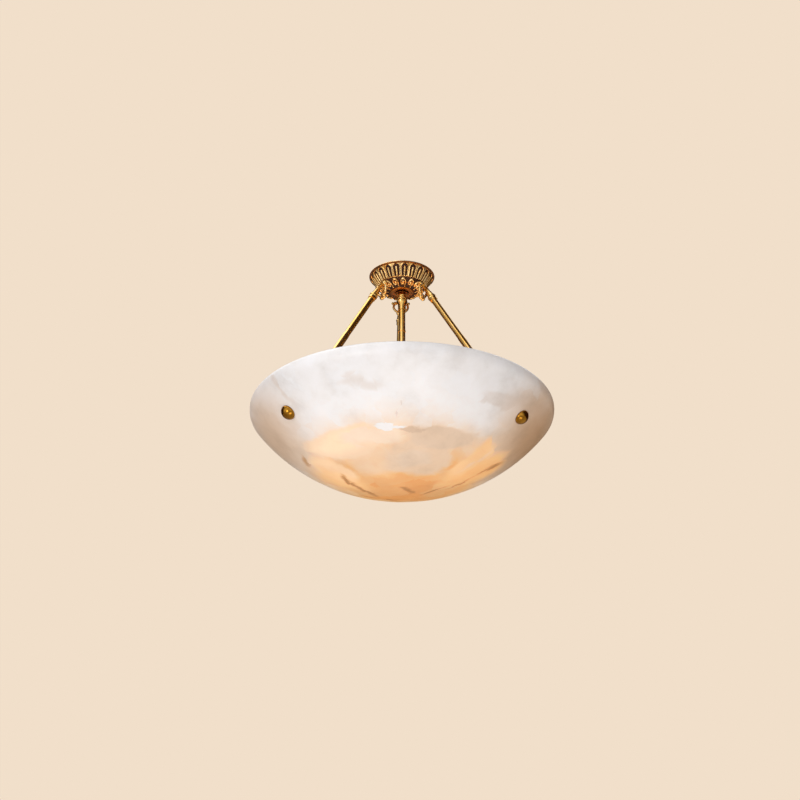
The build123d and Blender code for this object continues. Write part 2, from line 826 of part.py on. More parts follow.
def make_lamp_hub():
    """Turned hub with a wiring chamber and a threaded hole for each lampholder."""
    socket_floor = hub_top - hub_neck_height
    body_top = -lamp_drop + hub_height / 2
    body_bottom = -lamp_drop - hub_height / 2
    chamber = hub_radius - hub_wall
    with BuildPart() as hub:
        with BuildSketch(Plane.XZ):
            with BuildLine():
                Polyline(
                    (stem_radius + spigot_gap, hub_top),
                    (hub_neck_radius, hub_top),
                    (hub_neck_radius, body_top + hub_wall),
                    (hub_radius - hub_wall, body_top),
                    (hub_radius, body_top - hub_wall),
                    (hub_radius, body_bottom),
                    (chamber, body_bottom),
                    (chamber, body_top - hub_wall),
                    (stem_bore, body_top - hub_wall),
                    (stem_bore, socket_floor),
                    (stem_radius + spigot_gap, socket_floor),
                    close=True,
                )
            make_face()
        revolve(axis=Axis.Z)
        planes = [Plane(origin=(0, 0, -lamp_drop), z_dir=radial(angle)) for angle in rod_angles]
        with BuildSketch(*planes):
            Circle(holder_stub_radius + spigot_gap)
        extrude(amount=2 * hub_radius, mode=Mode.SUBTRACT)
    save(hub, "lamp_hub")


def make_hub_finial():
    """Turned cap that closes the hub from below."""
    top = -lamp_drop - hub_height / 2
    plate = top - hub_wall
    ball = plate - finial_radius * (1 + sin(radians(finial_start)))
    start = radians(finial_start)
    ball_edge = Vector(cos(start), sin(start)) * finial_radius
    with BuildPart() as finial:
        with BuildSketch(Plane.XZ):
            with BuildLine():
                Polyline(
                    (0, top + hub_wall),
                    (hub_radius - hub_wall - spigot_gap, top + hub_wall),
                    (hub_radius - hub_wall - spigot_gap, top),
                    (hub_radius, top),
                    (hub_radius, plate + hub_wall / 2),
                    (hub_radius - hub_wall / 2, plate),
                    (ball_edge.X, plate),
                    (ball_edge.X, ball + ball_edge.Y),
                )
                CenterArc((0, ball), finial_radius, finial_start, -90 - finial_start)
                Line((0, ball - finial_radius), (0, top + hub_wall))
            make_face()
        revolve(axis=Axis.Z)
    save(finial, "hub_finial")


def lamp_plane(angle):
    """Plane whose Y runs outwards along a bulb's axis."""
    return side_plane(Vector(0, 0, -lamp_drop), radial(angle), angle)


def lamp_axis(angle):
    """Axis of a bulb and its holder."""
    return Axis(Vector(0, 0, -lamp_drop), radial(angle))


def make_holder_shell(number, angle):
    """Brass shell of a lampholder, with the hollow stub that screws into the hub."""
    stub_start = hub_radius - hub_wall - holder_stub_end
    end = holder_start + holder_length
    with BuildPart() as shell:
        with BuildSketch(lamp_plane(angle)):
            with BuildLine():
                Polyline(
                    (holder_stub_radius - holder_wall, stub_start),
                    (holder_stub_radius, stub_start),
                    (holder_stub_radius, hub_radius + spigot_gap),
                    (2 * holder_stub_radius, hub_radius + 2 * spigot_gap),
                    (2 * holder_stub_radius, holder_start),
                    (holder_radius - 2 * holder_wall, holder_start),
                    (holder_radius, holder_start + 2 * holder_wall),
                    (holder_radius, end),
                    (holder_radius - holder_wall, end),
                    (holder_radius - holder_wall, holder_start + 2 * holder_wall),
                    (holder_radius - 3 * holder_wall, holder_start + holder_wall),
                    (holder_stub_radius - holder_wall, holder_start + holder_wall),
                    close=True,
                )
            make_face()
        revolve(axis=lamp_axis(angle))
    save(shell, f"holder_shell_{number}")


def make_holder_core(number, angle):
    """Ceramic core of a lampholder."""
    outer = holder_radius - holder_wall - core_gap
    back = holder_start + holder_wall
    with BuildPart() as core:
        with BuildSketch(lamp_plane(angle)):
            with BuildLine():
                Polyline(
                    (0, back),
                    (outer - 2 * holder_wall, back),
                    (outer, back + 2 * holder_wall),
                    (outer, holder_start + holder_length - holder_wall),
                    (cap_radius + cap_clearance, holder_start + holder_length - holder_wall),
                    (cap_radius + cap_clearance, back + core_floor),
                    (0, back + core_floor),
                    close=True,
                )
            make_face()
        revolve(axis=lamp_axis(angle))
    save(core, f"holder_core_{number}")


def make_bulb_cap(number, angle):
    """Metal screw cap of a bulb, with its contact."""
    with BuildPart() as cap:
        with BuildSketch(lamp_plane(angle)):
            with BuildLine():
                Polyline(
                    (0, cap_start),
                    (cap_contact_radius, cap_start),
                    (cap_contact_radius, cap_start + cap_contact),
                    (cap_radius - cap_contact, cap_start + cap_contact),
                    (cap_radius, cap_start + 2 * cap_contact),
                    (cap_radius, cap_end),
                    (0, cap_end),
                    close=True,
                )
            make_face()
        revolve(axis=lamp_axis(angle))
    save(cap, f"bulb_cap_{number}")


def bulb_line(neck, globe):
    """Outline of a bulb from the cap to the crown, the neck tangent to the globe."""
    centre = cap_start + bulb_length - bulb_radius
    join = (globe * sin(radians(bulb_turn)), centre - globe * cos(radians(bulb_turn)))
    neck_end = join[1] - (join[0] - neck) / tan_half_turn
    Line((neck, cap_end), (neck, neck_end))
    TangentArc((neck, neck_end), join, tangent=(0, 1))
    CenterArc((0, centre), globe, bulb_turn - 90, 180 - bulb_turn)


def make_bulb_glass(number, angle):
    """Glass envelope of a bulb, a thin shell."""
    centre = cap_start + bulb_length - bulb_radius
    with BuildPart() as glass:
        with BuildSketch(lamp_plane(angle)):
            with BuildLine():
                bulb_line(bulb_neck_radius, bulb_radius)
                bulb_line(bulb_neck_radius - bulb_wall, bulb_radius - bulb_wall)
                Line((0, centre + bulb_radius), (0, centre + bulb_radius - bulb_wall))
                Line((bulb_neck_radius, cap_end), (bulb_neck_radius - bulb_wall, cap_end))
            make_face()
        revolve(axis=lamp_axis(angle))
    save(glass, f"bulb_glass_{number}")


make_bowl()
make_canopy()
make_rosette_band()
make_hanger_nuts()
make_ceiling_bracket()
make_earth_screw()
make_nipple()
make_nipple_nuts()
make_terminal_block()
make_stem_cup()
make_stem_bead()
make_stem_tube()
make_lamp_hub()
make_hub_finial()
make_washers("outer_washers", -seat_outside)
make_washers("inner_washers", -bowl_wall + seat_inside - washer_thickness)
for number, angle in enumerate(rod_angles, start=1):
    make_hanger(number, angle)
    make_pivot_pin(number, angle)
    make_rod_end(number, angle)
    make_rod_tube(number, angle)
    make_rod_foot(number, angle)
    make_dome_nut(number, angle)
    make_holder_shell(number, angle)
    make_holder_core(number, angle)
    make_bulb_cap(number, angle)
    make_bulb_glass(number, angle)
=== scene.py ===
import logging
import math
from collections.abc import Callable, Sequence
from dataclasses import dataclass
from enum import Enum

import bmesh
import bpy
from mathutils import Matrix, Vector


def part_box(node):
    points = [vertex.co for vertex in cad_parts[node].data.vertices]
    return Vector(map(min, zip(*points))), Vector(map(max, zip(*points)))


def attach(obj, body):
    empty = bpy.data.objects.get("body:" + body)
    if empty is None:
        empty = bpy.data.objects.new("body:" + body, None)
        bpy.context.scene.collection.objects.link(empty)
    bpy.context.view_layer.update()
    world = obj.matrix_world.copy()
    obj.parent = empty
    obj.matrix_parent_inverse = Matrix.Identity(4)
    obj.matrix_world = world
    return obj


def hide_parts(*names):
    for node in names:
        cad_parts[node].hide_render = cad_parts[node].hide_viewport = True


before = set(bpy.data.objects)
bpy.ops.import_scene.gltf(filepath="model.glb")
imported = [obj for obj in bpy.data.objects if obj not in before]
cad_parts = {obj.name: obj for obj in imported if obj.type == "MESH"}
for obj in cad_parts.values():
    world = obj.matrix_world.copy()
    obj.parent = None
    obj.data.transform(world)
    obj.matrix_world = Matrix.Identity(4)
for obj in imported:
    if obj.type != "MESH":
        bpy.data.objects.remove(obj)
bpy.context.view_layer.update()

logging.basicConfig(level=logging.INFO, format="%(message)s")
log = logging.getLogger("lamp")

MM = 0.001
FIXTURE = "fixture"
ARMS = (1, 2, 3)                    # the three rods, lampholders and bulbs
ARM_ANGLES = (210.0, 330.0, 90.0)   # where they point from the lamp's axis
FRONT_ANGLE = 270.0                 # a rosette faces this way
HOLLOW = "hollow"                   # attribute, 1 at the bottom of a casting's hollows

Color = tuple[float, float, float, float]


def linear(hex_colour: str) -> Color:
    """Turn an sRGB hex colour into the linear colour that shaders take.

    Args:
        hex_colour: colour as "#RRGGBB".
    Returns:
        Linear red, green, blue and an alpha of 1.
    """
    parts = [int(hex_colour[i:i + 2], 16) / 255 for i in (1, 3, 5)]
    red, green, blue = (c / 12.92 if c <= 0.04045 else ((c + 0.055) / 1.055) ** 2.4 for c in parts)
    return red, green, blue, 1.0


def add_node(
    tree: bpy.types.NodeTree,
    kind: str,
    settings: dict[str, object] | None = None,
    inputs: dict[str | int, object] | None = None,
    stops: Sequence[tuple[float, str]] = (),
) -> bpy.types.Node:
    """Add a shader node with its settings and links.

    Args:
        tree: the material's node tree.
        kind: Blender's name for the kind of node.
        settings: node properties by name.
        inputs: by input name or number, a value or the output socket that feeds it.
        stops: places and hex colours of a colour ramp.
    Returns:
        The new node.
    """
    node = tree.nodes.new(kind)
    for name, value in (settings or {}).items():
        setattr(node, name, value)
    for key, value in (inputs or {}).items():
        if isinstance(value, bpy.types.NodeSocket):
            tree.links.new(value, node.inputs[key])
        else:
            node.inputs[key].default_value = value
    for index, (place, colour) in enumerate(stops):
        ramp = node.color_ramp.elements
        stop = ramp[index] if index < 2 else ramp.new(place)
        stop.position = place
        stop.color = linear(colour)
    return node


class Finish:
    """A surface finish, built once and shared by every piece that has it."""

    name: str

    def shade(self, tree: bpy.types.NodeTree, shader: bpy.types.Node, place: bpy.types.NodeSocket) -> None:
        """Build the nodes of the finish.

        Args:
            tree: the material's node tree.
            shader: its Principled node.
            place: object coordinates, in metres.
        """
        raise NotImplementedError

    def material(self) -> bpy.types.Material:
        """Make the finish's material at its first use.

        Returns:
            The material.
        """
        found = bpy.data.materials.get(self.name)
        if found:
            return found
        made = bpy.data.materials.new(self.name)
        made.use_nodes = True
        tree = made.node_tree
        coordinates = add_node(tree, "ShaderNodeTexCoord")
        self.shade(tree, tree.nodes["Principled BSDF"], coordinates.outputs["Object"])
        return made

    def dress(self, piece: bpy.types.Object) -> None:
        """Give a piece this finish in place of what it has.

        Args:
            piece: the piece or CAD node.
        """
        piece.data.materials.clear()
        piece.data.materials.append(self.material())
        for face in piece.data.polygons:
            face.material_index = 0


def per_metre(size_mm: float) -> float:
    """Give the scale of a pattern whose cells are about this many millimetres wide."""
    return 1 / (size_mm * MM)


@dataclass(frozen=True)
class BrassFinish(Finish):
    """Brass, cast or turned, lacquered, with a patina where a piece says that it is hollow."""

    name: str
    metal: str                      # open surface
    shade_metal: str                # duller stretches of it
    bloom: str                      # brown bloom on what isn't rubbed bright
    patina: str                     # bottom of the hollows
    roughness: float
    cloud_mm: float                 # size of the duller stretches
    grain_mm: float                 # size of the bumps that casting or turning leaves
    grain_depth_mm: float

    def shade(self, tree: bpy.types.NodeTree, shader: bpy.types.Node, place: bpy.types.NodeSocket) -> None:
        """Cloud the metal, and make it brown and duller in the hollows, over a fine grain.

        Args:
            tree: the material's node tree.
            shader: its Principled node.
            place: object coordinates, in metres.
        """
        cloud = add_node(tree, "ShaderNodeTexNoise", inputs={
            "Vector": place, "Scale": per_metre(self.cloud_mm), "Detail": 4.0, "Roughness": 0.6})
        tint = add_node(tree, "ShaderNodeValToRGB", inputs={"Fac": cloud.outputs["Fac"]},
                        stops=((0.38, self.shade_metal), (0.62, self.metal)))
        hollow = add_node(tree, "ShaderNodeAttribute", {"attribute_name": HOLLOW})
        worn = add_node(tree, "ShaderNodeMath", {"operation": "MULTIPLY_ADD"}, {
            0: cloud.outputs["Fac"], 1: 0.5, 2: hollow.outputs["Fac"]})
        dimmed = add_node(tree, "ShaderNodeMapRange", {"interpolation_type": "SMOOTHSTEP"}, {
            "Value": worn.outputs["Value"], "From Min": 0.35, "From Max": 0.75})
        covered = add_node(tree, "ShaderNodeMapRange", {"interpolation_type": "SMOOTHSTEP"}, {
            "Value": worn.outputs["Value"], "From Min": 0.8, "From Max": 1.15})
        bloomed = add_node(tree, "ShaderNodeMix", {"data_type": "RGBA"}, {
            "Factor": dimmed.outputs["Result"], 6: tint.outputs["Color"], 7: linear(self.bloom)})
        mixed = add_node(tree, "ShaderNodeMix", {"data_type": "RGBA"}, {
            "Factor": covered.outputs["Result"], 6: bloomed.outputs[2], 7: linear(self.patina)})
        grain = add_node(tree, "ShaderNodeTexNoise", inputs={
            "Vector": place, "Scale": per_metre(self.grain_mm), "Detail": 3.0})
        rough = add_node(tree, "ShaderNodeMapRange", inputs={
            "Value": grain.outputs["Fac"], "From Min": 0.3, "From Max": 0.7,
            "To Min": self.roughness * 0.8, "To Max": self.roughness * 1.25})
        dull = add_node(tree, "ShaderNodeMath", {"operation": "MULTIPLY_ADD", "use_clamp": True}, {
            0: covered.outputs["Result"], 1: 0.25, 2: rough.outputs["Result"]})
        bump = add_node(tree, "ShaderNodeBump", inputs={
            "Height": grain.outputs["Fac"], "Distance": self.grain_depth_mm * MM, "Strength": 0.5})
        bare = add_node(tree, "ShaderNodeMath", {"operation": "MULTIPLY_ADD"}, {
            0: covered.outputs["Result"], 1: -0.6, 2: 1.0})
        tree.links.new(mixed.outputs[2], shader.inputs["Base Color"])
        tree.links.new(bare.outputs["Value"], shader.inputs["Metallic"])
        tree.links.new(dull.outputs["Value"], shader.inputs["Roughness"])
        tree.links.new(bump.outputs["Normal"], shader.inputs["Normal"])


@dataclass(frozen=True)
class SpeckledFinish(Finish):
    """A plain material with faint clouds and a fine bump, such as plating, rubber or ceramic."""

    name: str
    light: str
    dark: str
    roughness: float
    metallic: float
    cloud_mm: float                 # size of the clouds
    grain_mm: float                 # size of the bumps
    grain_depth_mm: float
    ior: float = 1.5

    def shade(self, tree: bpy.types.NodeTree, shader: bpy.types.Node, place: bpy.types.NodeSocket) -> None:
        """Cloud two close tints, and add a grain.

        Args:
            tree: the material's node tree.
            shader: its Principled node.
            place: object coordinates, in metres.
        """
        cloud = add_node(tree, "ShaderNodeTexNoise", inputs={
            "Vector": place, "Scale": per_metre(self.cloud_mm), "Detail": 5.0})
        tint = add_node(tree, "ShaderNodeValToRGB", inputs={"Fac": cloud.outputs["Fac"]},
                        stops=((0.4, self.dark), (0.6, self.light)))
        grain = add_node(tree, "ShaderNodeTexNoise", inputs={
            "Vector": place, "Scale": per_metre(self.grain_mm), "Detail": 2.0})
        bump = add_node(tree, "ShaderNodeBump", inputs={
            "Height": grain.outputs["Fac"], "Distance": self.grain_depth_mm * MM, "Strength": 0.5})
        tree.links.new(tint.outputs["Color"], shader.inputs["Base Color"])
        tree.links.new(bump.outputs["Normal"], shader.inputs["Normal"])
        shader.inputs["Roughness"].default_value = self.roughness
        shader.inputs["Metallic"].default_value = self.metallic
        if not self.metallic:
            shader.inputs["IOR"].default_value = self.ior


@dataclass(frozen=True)
class OpalGlassFinish(Finish):
    """Opal glass of a lit bulb: soft white, brightest round its filament."""

    name: str = "opal_lamp_glass"
    glass: str = "#FFF6E6"
    glow: str = "#FFD9A0"
    pale_glow: str = "#FFE4B8"
    haze_mm: float = 9.0            # size of the clouds between the two
    strength: float = 7.0
    centre_mm: float = 107.0        # lamp's axis to the middle of the globe
    rise: tuple[float, float] = (0.55, 0.85)    # shares of that reach over which the light rises
    cap_share: float = 0.04         # light at the cap against the globe's

    def shade(self, tree: bpy.types.NodeTree, shader: bpy.types.Node, place: bpy.types.NodeSocket) -> None:
        """Let the glow fall off from the globe towards the cap.

        Args:
            tree: the material's node tree.
            shader: its Principled node.
            place: object coordinates, in metres.
        """
        parts = add_node(tree, "ShaderNodeSeparateXYZ", inputs={"Vector": place})
        flat = add_node(tree, "ShaderNodeCombineXYZ", inputs={
            "X": parts.outputs["X"], "Y": parts.outputs["Y"]})
        reach = add_node(tree, "ShaderNodeVectorMath", {"operation": "LENGTH"}, {0: flat.outputs["Vector"]})
        share = add_node(tree, "ShaderNodeMapRange", {"interpolation_type": "SMOOTHSTEP"}, {
            "Value": reach.outputs["Value"], "From Min": self.rise[0] * self.centre_mm * MM,
            "From Max": self.rise[1] * self.centre_mm * MM, "To Min": self.cap_share, "To Max": 1.0})
        haze = add_node(tree, "ShaderNodeTexNoise", inputs={
            "Vector": place, "Scale": per_metre(self.haze_mm), "Detail": 2.0})
        tint = add_node(tree, "ShaderNodeValToRGB", inputs={"Fac": haze.outputs["Fac"]},
                        stops=((0.3, self.glow), (0.7, self.pale_glow)))
        light = add_node(tree, "ShaderNodeVectorMath", {"operation": "SCALE"}, {
            0: tint.outputs["Color"], "Scale": share.outputs["Result"]})
        tree.links.new(light.outputs["Vector"], shader.inputs["Emission Color"])
        shader.inputs["Emission Strength"].default_value = self.strength
        shader.inputs["Base Color"].default_value = linear(self.glass)
        shader.inputs["Roughness"].default_value = 0.35
        shader.inputs["IOR"].default_value = 1.52


class Outline(Enum):
    """Shape of a mark in the stone."""

    ROUND = "round"
    SQUARE = "four-cornered, for crystal cells"
    RAGGED = "round with a broken edge, for veins and flakes"


@dataclass(frozen=True)
class Mark:
    """A patch, cloud or vein in the stone, placed on the bowl's outside.

    azimuth and reach place its middle, length and width are its size, and turn is the angle of its
    length from the level, all seen from outside. warm, glow and dark are what the stone shows there: glow is
    painted light, the bulbs' light through the stone, and dark is the brown of veins and of painted shade.
    """

    azimuth: float
    reach: float
    length: float
    width: float
    turn: float
    warm: float
    glow: float
    dark: float = 0.0
    opacity: float = 1.0
    soft: float = 0.4               # share of the radius over which it fades
    outline: Outline = Outline.ROUND


@dataclass(frozen=True)
class AlabasterFinish(Finish):
    """Polished alabaster, lit from inside: cool white, with cells and brown veins, and painted light, warm patches
    and a glow drawn as emission.
    """

    marks: tuple[Mark, ...]
    belly_radius: float             # bowl's outer sphere, in mm
    belly_z: float
    name: str = "polished_alabaster"
    wander_mm: tuple[float, float] = (40.0, 20.0)   # size and push of the slow wander of all edges
    crystal_mm: tuple[float, float] = (30.0, 8.0)   # size and push of the crystals that break them
    ragged_mm: tuple[float, float] = (14.0, 11.0)   # size and push of what breaks a ragged edge
    mark_depth_mm: float = 60.0     # half depth of a mark, well over the wall
    squareness: float = 0.65        # share that a crystal cell's corners take in its outline
    warm_band_mm: tuple[float, float] = (-322.0, -396.0)    # heights between which the stone warms, partly its own tone and partly painted light and shade
    glow_band_mm: tuple[float, float] = (-285.0, -390.0)    # the same for the painted light through it, drawn as emission
    cell_band_mm: tuple[float, float] = (-335.0, -375.0)    # the same for the differences of its cells
    cell_mm: float = 34.0
    cloud_mm: float = 55.0
    grain_mm: float = 3.0           # polishing leaves far less, too fine to show
    grain_depth_mm: float = 0.05
    # brown of the veins, and of the painted shade low on the bowl's sides
    vein_and_shade: str = "#84480F"
    light: float = 0.78             # strength of the painted light, the emission that stands for the light that comes through

    def seat(self, mark: Mark) -> tuple[Vector, tuple[float, float, float]]:
        """Place a mark on the outer sphere.

        Args:
            mark: the mark.
        Returns:
            Its middle in metres, and the turn of its own axes.
        """
        angle = math.radians(mark.azimuth)
        out = Vector((math.cos(angle), math.sin(angle), 0))
        drop = math.sqrt(self.belly_radius ** 2 - mark.reach ** 2)
        middle = (out * mark.reach + Vector((0, 0, self.belly_z - drop))) * MM
        normal = (out * mark.reach - Vector((0, 0, drop))).normalized()
        level = Vector((-math.sin(angle), math.cos(angle), 0))
        upward = normal.cross(level)
        turn = math.radians(mark.turn)
        along = level * math.cos(turn) + upward * math.sin(turn)
        axes = Matrix((along, normal.cross(along), normal)).transposed()
        return middle, tuple(axes.to_euler())

    def shade(self, tree: bpy.types.NodeTree, shader: bpy.types.Node, place: bpy.types.NodeSocket) -> None:
        """Layer the marks over the stone's own gradient, clouds and cells.

        Args:
            tree: the material's node tree.
            shader: its Principled node.
            place: object coordinates, in metres.
        """
        drift = self.celled(tree, self.warped(tree, place, *self.wander_mm), *self.crystal_mm)
        broken = self.warped(tree, drift, *self.ragged_mm)
        field = self.ground(tree, place, drift)
        for mark in self.marks:
            middle, turn = self.seat(mark)
            local = add_node(tree, "ShaderNodeMapping", {"vector_type": "TEXTURE"}, {
                "Vector": broken if mark.outline is Outline.RAGGED else drift,
                "Location": middle, "Rotation": turn,
                "Scale": (mark.length / 2 * MM, mark.width / 2 * MM, self.mark_depth_mm * MM)})
            cover = add_node(tree, "ShaderNodeMapRange", {"interpolation_type": "SMOOTHSTEP"}, {
                "Value": self.distance(tree, local.outputs["Vector"], mark.outline),
                "From Min": 1 + mark.soft / 2, "From Max": 1 - mark.soft / 2, "To Max": mark.opacity})
            layer = add_node(tree, "ShaderNodeMix", {"data_type": "VECTOR"}, {
                "Factor": cover.outputs["Result"], 4: field, 5: (mark.warm, mark.glow, mark.dark)})
            field = layer.outputs[1]
        self.colour(tree, shader, place, field)

    def distance(self, tree: bpy.types.NodeTree, local: bpy.types.NodeSocket,
                 outline: Outline) -> bpy.types.NodeSocket:
        """Measure the distance from a mark's middle, 1 at its edge.

        Args:
            tree: the material's node tree.
            local: place in the mark's own axes, scaled to its size.
            outline: the mark's shape.
        Returns:
            The distance.
        """
        if outline is not Outline.SQUARE:
            away = add_node(tree, "ShaderNodeVectorMath", {"operation": "LENGTH"}, {0: local})
            return away.outputs["Value"]
        sides = add_node(tree, "ShaderNodeVectorMath", {"operation": "ABSOLUTE"}, {0: local})
        parts = add_node(tree, "ShaderNodeSeparateXYZ", inputs={"Vector": sides.outputs["Vector"]})
        flat = add_node(tree, "ShaderNodeMath", {"operation": "MAXIMUM"}, {
            0: parts.outputs["X"], 1: parts.outputs["Y"]})
        away = add_node(tree, "ShaderNodeMath", {"operation": "MAXIMUM"}, {
            0: flat.outputs["Value"], 1: parts.outputs["Z"]})
        round_away = add_node(tree, "ShaderNodeVectorMath", {"operation": "LENGTH"}, {0: local})
        both = add_node(tree, "ShaderNodeMath", {"operation": "MULTIPLY_ADD"}, {
            0: round_away.outputs["Value"], 1: 0.45, 2: away.outputs["Value"]})
        shared = add_node(tree, "ShaderNodeMath", {"operation": "MULTIPLY"}, {
            0: both.outputs["Value"], 1: self.squareness})
        return shared.outputs["Value"]

    def warped(self, tree: bpy.types.NodeTree, place: bpy.types.NodeSocket, size_mm: float,
               push_mm: float) -> bpy.types.NodeSocket:
        """Push places about by a noise, so that edges wander as they do in stone.

        Args:
            tree: the material's node tree.
            place: coordinates in metres.
            size_mm: size of the wander.
            push_mm: how far it goes.
        Returns:
            The pushed coordinates.
        """
        noise = add_node(tree, "ShaderNodeTexNoise", inputs={
            "Vector": place, "Scale": per_metre(size_mm), "Detail": 3.0, "Roughness": 0.55})
        push = add_node(tree, "ShaderNodeVectorMath", {"operation": "MULTIPLY_ADD"}, {
            0: noise.outputs["Color"], 1: (push_mm * MM,) * 3, 2: (-push_mm / 2 * MM,) * 3})
        moved = add_node(tree, "ShaderNodeVectorMath", {"operation": "ADD"}, {0: place, 1: push.outputs["Vector"]})
        return moved.outputs["Vector"]

    def celled(self, tree: bpy.types.NodeTree, place: bpy.types.NodeSocket, size_mm: float,
               push_mm: float) -> bpy.types.NodeSocket:
        """Push each crystal cell by its own amount, so that edges break along the cells.

        Args:
            tree: the material's node tree.
            place: coordinates in metres.
            size_mm: size of a cell.
            push_mm: how far apart two cells may be pushed.
        Returns:
            The pushed coordinates.
        """
        cells = add_node(tree, "ShaderNodeTexVoronoi", inputs={"Vector": place, "Scale": per_metre(size_mm)})
        push = add_node(tree, "ShaderNodeVectorMath", {"operation": "MULTIPLY_ADD"}, {
            0: cells.outputs["Color"], 1: (push_mm * MM,) * 3, 2: (-push_mm / 2 * MM,) * 3})
        moved = add_node(tree, "ShaderNodeVectorMath", {"operation": "ADD"}, {0: place, 1: push.outputs["Vector"]})
        return moved.outputs["Vector"]

    def ground(self, tree: bpy.types.NodeTree, place: bpy.types.NodeSocket,
               drift: bpy.types.NodeSocket) -> bpy.types.NodeSocket:
        """Let warmth and the painted glow rise towards the bottom, which the bulbs light from inside, broken into
        cells.

        Args:
            tree: the material's node tree.
            place: object coordinates; not used.
            drift: the same, pushed about.
        Returns:
            A vector of warm, glow and dark.
        """
        height = add_node(tree, "ShaderNodeSeparateXYZ", inputs={"Vector": drift})
        warm = add_node(tree, "ShaderNodeMapRange", {"interpolation_type": "SMOOTHSTEP"}, {
            "Value": height.outputs["Z"], "From Min": self.warm_band_mm[0] * MM,
            "From Max": self.warm_band_mm[1] * MM, "To Min": 0.03, "To Max": 0.85})
        glow = add_node(tree, "ShaderNodeMapRange", inputs={
            "Value": height.outputs["Z"], "From Min": self.glow_band_mm[0] * MM,
            "From Max": self.glow_band_mm[1] * MM, "To Min": 0.24, "To Max": 0.50})
        start = add_node(tree, "ShaderNodeCombineXYZ", inputs={
            "X": warm.outputs["Result"], "Y": glow.outputs["Result"]})
        cells = add_node(tree, "ShaderNodeTexVoronoi", inputs={"Vector": drift, "Scale": per_metre(self.cell_mm)})
        shift = add_node(tree, "ShaderNodeVectorMath", {"operation": "MULTIPLY_ADD"}, {
            0: cells.outputs["Color"], 1: (0.16, 0.12, 0.04), 2: (-0.08, -0.06, 0.0)})
        low = add_node(tree, "ShaderNodeMapRange", {"interpolation_type": "SMOOTHSTEP"}, {
            "Value": height.outputs["Z"], "From Min": self.cell_band_mm[0] * MM,
            "From Max": self.cell_band_mm[1] * MM, "To Min": 0.12, "To Max": 1.0})
        shares = add_node(tree, "ShaderNodeVectorMath", {"operation": "SCALE"}, {
            0: shift.outputs["Vector"], "Scale": low.outputs["Result"]})
        ground = add_node(tree, "ShaderNodeVectorMath", {"operation": "ADD"}, {
            0: start.outputs["Vector"], 1: shares.outputs["Vector"]})
        return ground.outputs["Vector"]

    def colour(self, tree: bpy.types.NodeTree, shader: bpy.types.Node, place: bpy.types.NodeSocket,
               field: bpy.types.NodeSocket) -> None:
        """Turn warm, glow and dark into the shader's colours, the glow into painted light drawn as emission.

        Args:
            tree: the material's node tree.
            shader: its Principled node.
            place: object coordinates.
            field: the vector of warm, glow and dark.
        """
        parts = add_node(tree, "ShaderNodeSeparateXYZ", inputs={"Vector": field})
        cloud = add_node(tree, "ShaderNodeTexNoise", inputs={
            "Vector": place, "Scale": per_metre(self.cloud_mm), "Detail": 6.0, "Roughness": 0.62})
        stone = add_node(tree, "ShaderNodeValToRGB", inputs={"Fac": cloud.outputs["Fac"]},
                         stops=((0.3, "#DDDCDC"), (0.5, "#ECEDEF"), (0.7, "#F3F5F9")))
        warm = add_node(tree, "ShaderNodeValToRGB", inputs={"Fac": parts.outputs["X"]},
                        stops=((0.0, "#F2F1F2"), (0.35, "#EED3BC"), (0.7, "#EDBB8A"), (1.0, "#DD9454")))
        lit = add_node(tree, "ShaderNodeMix", {"data_type": "RGBA", "blend_type": "MULTIPLY"}, {
            "Factor": 1.0, 6: stone.outputs["Color"], 7: warm.outputs["Color"]})
        # veins and painted shade both turn the stone towards this brown
        veined_and_shaded = add_node(tree, "ShaderNodeMix", {"data_type": "RGBA"}, {
            "Factor": parts.outputs["Z"], 6: lit.outputs[2], 7: linear(self.vein_and_shade)})
        # painted light: the glow, dimmed where veins and painted shade lie, becomes a warm emission
        clear = add_node(tree, "ShaderNodeMapRange", inputs={
            "Value": parts.outputs["Z"], "From Min": 0.0, "From Max": 0.8, "To Min": 1.0, "To Max": 0.05})
        light = add_node(tree, "ShaderNodeMath", {"operation": "MULTIPLY"}, {
            0: parts.outputs["Y"], 1: clear.outputs["Result"]})
        painted_glow_colour = add_node(tree, "ShaderNodeValToRGB", inputs={"Fac": parts.outputs["X"]},
                                stops=((0.0, "#FAF6F5"), (0.35, "#FFDFBA"), (0.7, "#FFC47C"), (1.0, "#F79C40")))
        grain = add_node(tree, "ShaderNodeTexNoise", inputs={
            "Vector": place, "Scale": per_metre(self.grain_mm), "Detail": 3.0})
        bump = add_node(tree, "ShaderNodeBump", inputs={
            "Height": grain.outputs["Fac"], "Distance": self.grain_depth_mm * MM, "Strength": 0.25})
        painted_glow = add_node(tree, "ShaderNodeVectorMath", {"operation": "SCALE"}, {
            0: painted_glow_colour.outputs["Color"], "Scale": light.outputs["Value"]})
        tree.links.new(veined_and_shaded.outputs[2], shader.inputs["Base Color"])
        tree.links.new(painted_glow.outputs["Vector"], shader.inputs["Emission Color"])
        tree.links.new(bump.outputs["Normal"], shader.inputs["Normal"])
        shader.inputs["Emission Strength"].default_value = self.light
        shader.inputs["Roughness"].default_value = 0.38
        shader.inputs["IOR"].default_value = 1.52


# The grain that turning, casting and polishing leave is finer than a pixel, so it is drawn 2 to 3 mm wide.
# Lacquered brass of the rods and stem, drawn and turned: bright yellow gold.
TURNED_BRASS = BrassFinish(
    name="turned_lacquered_brass", metal="#EBC078", shade_metal="#DCAF5E", bloom="#A8702C", patina="#4A2A10",
    roughness=0.22, cloud_mm=30, grain_mm=2.5, grain_depth_mm=0.01)
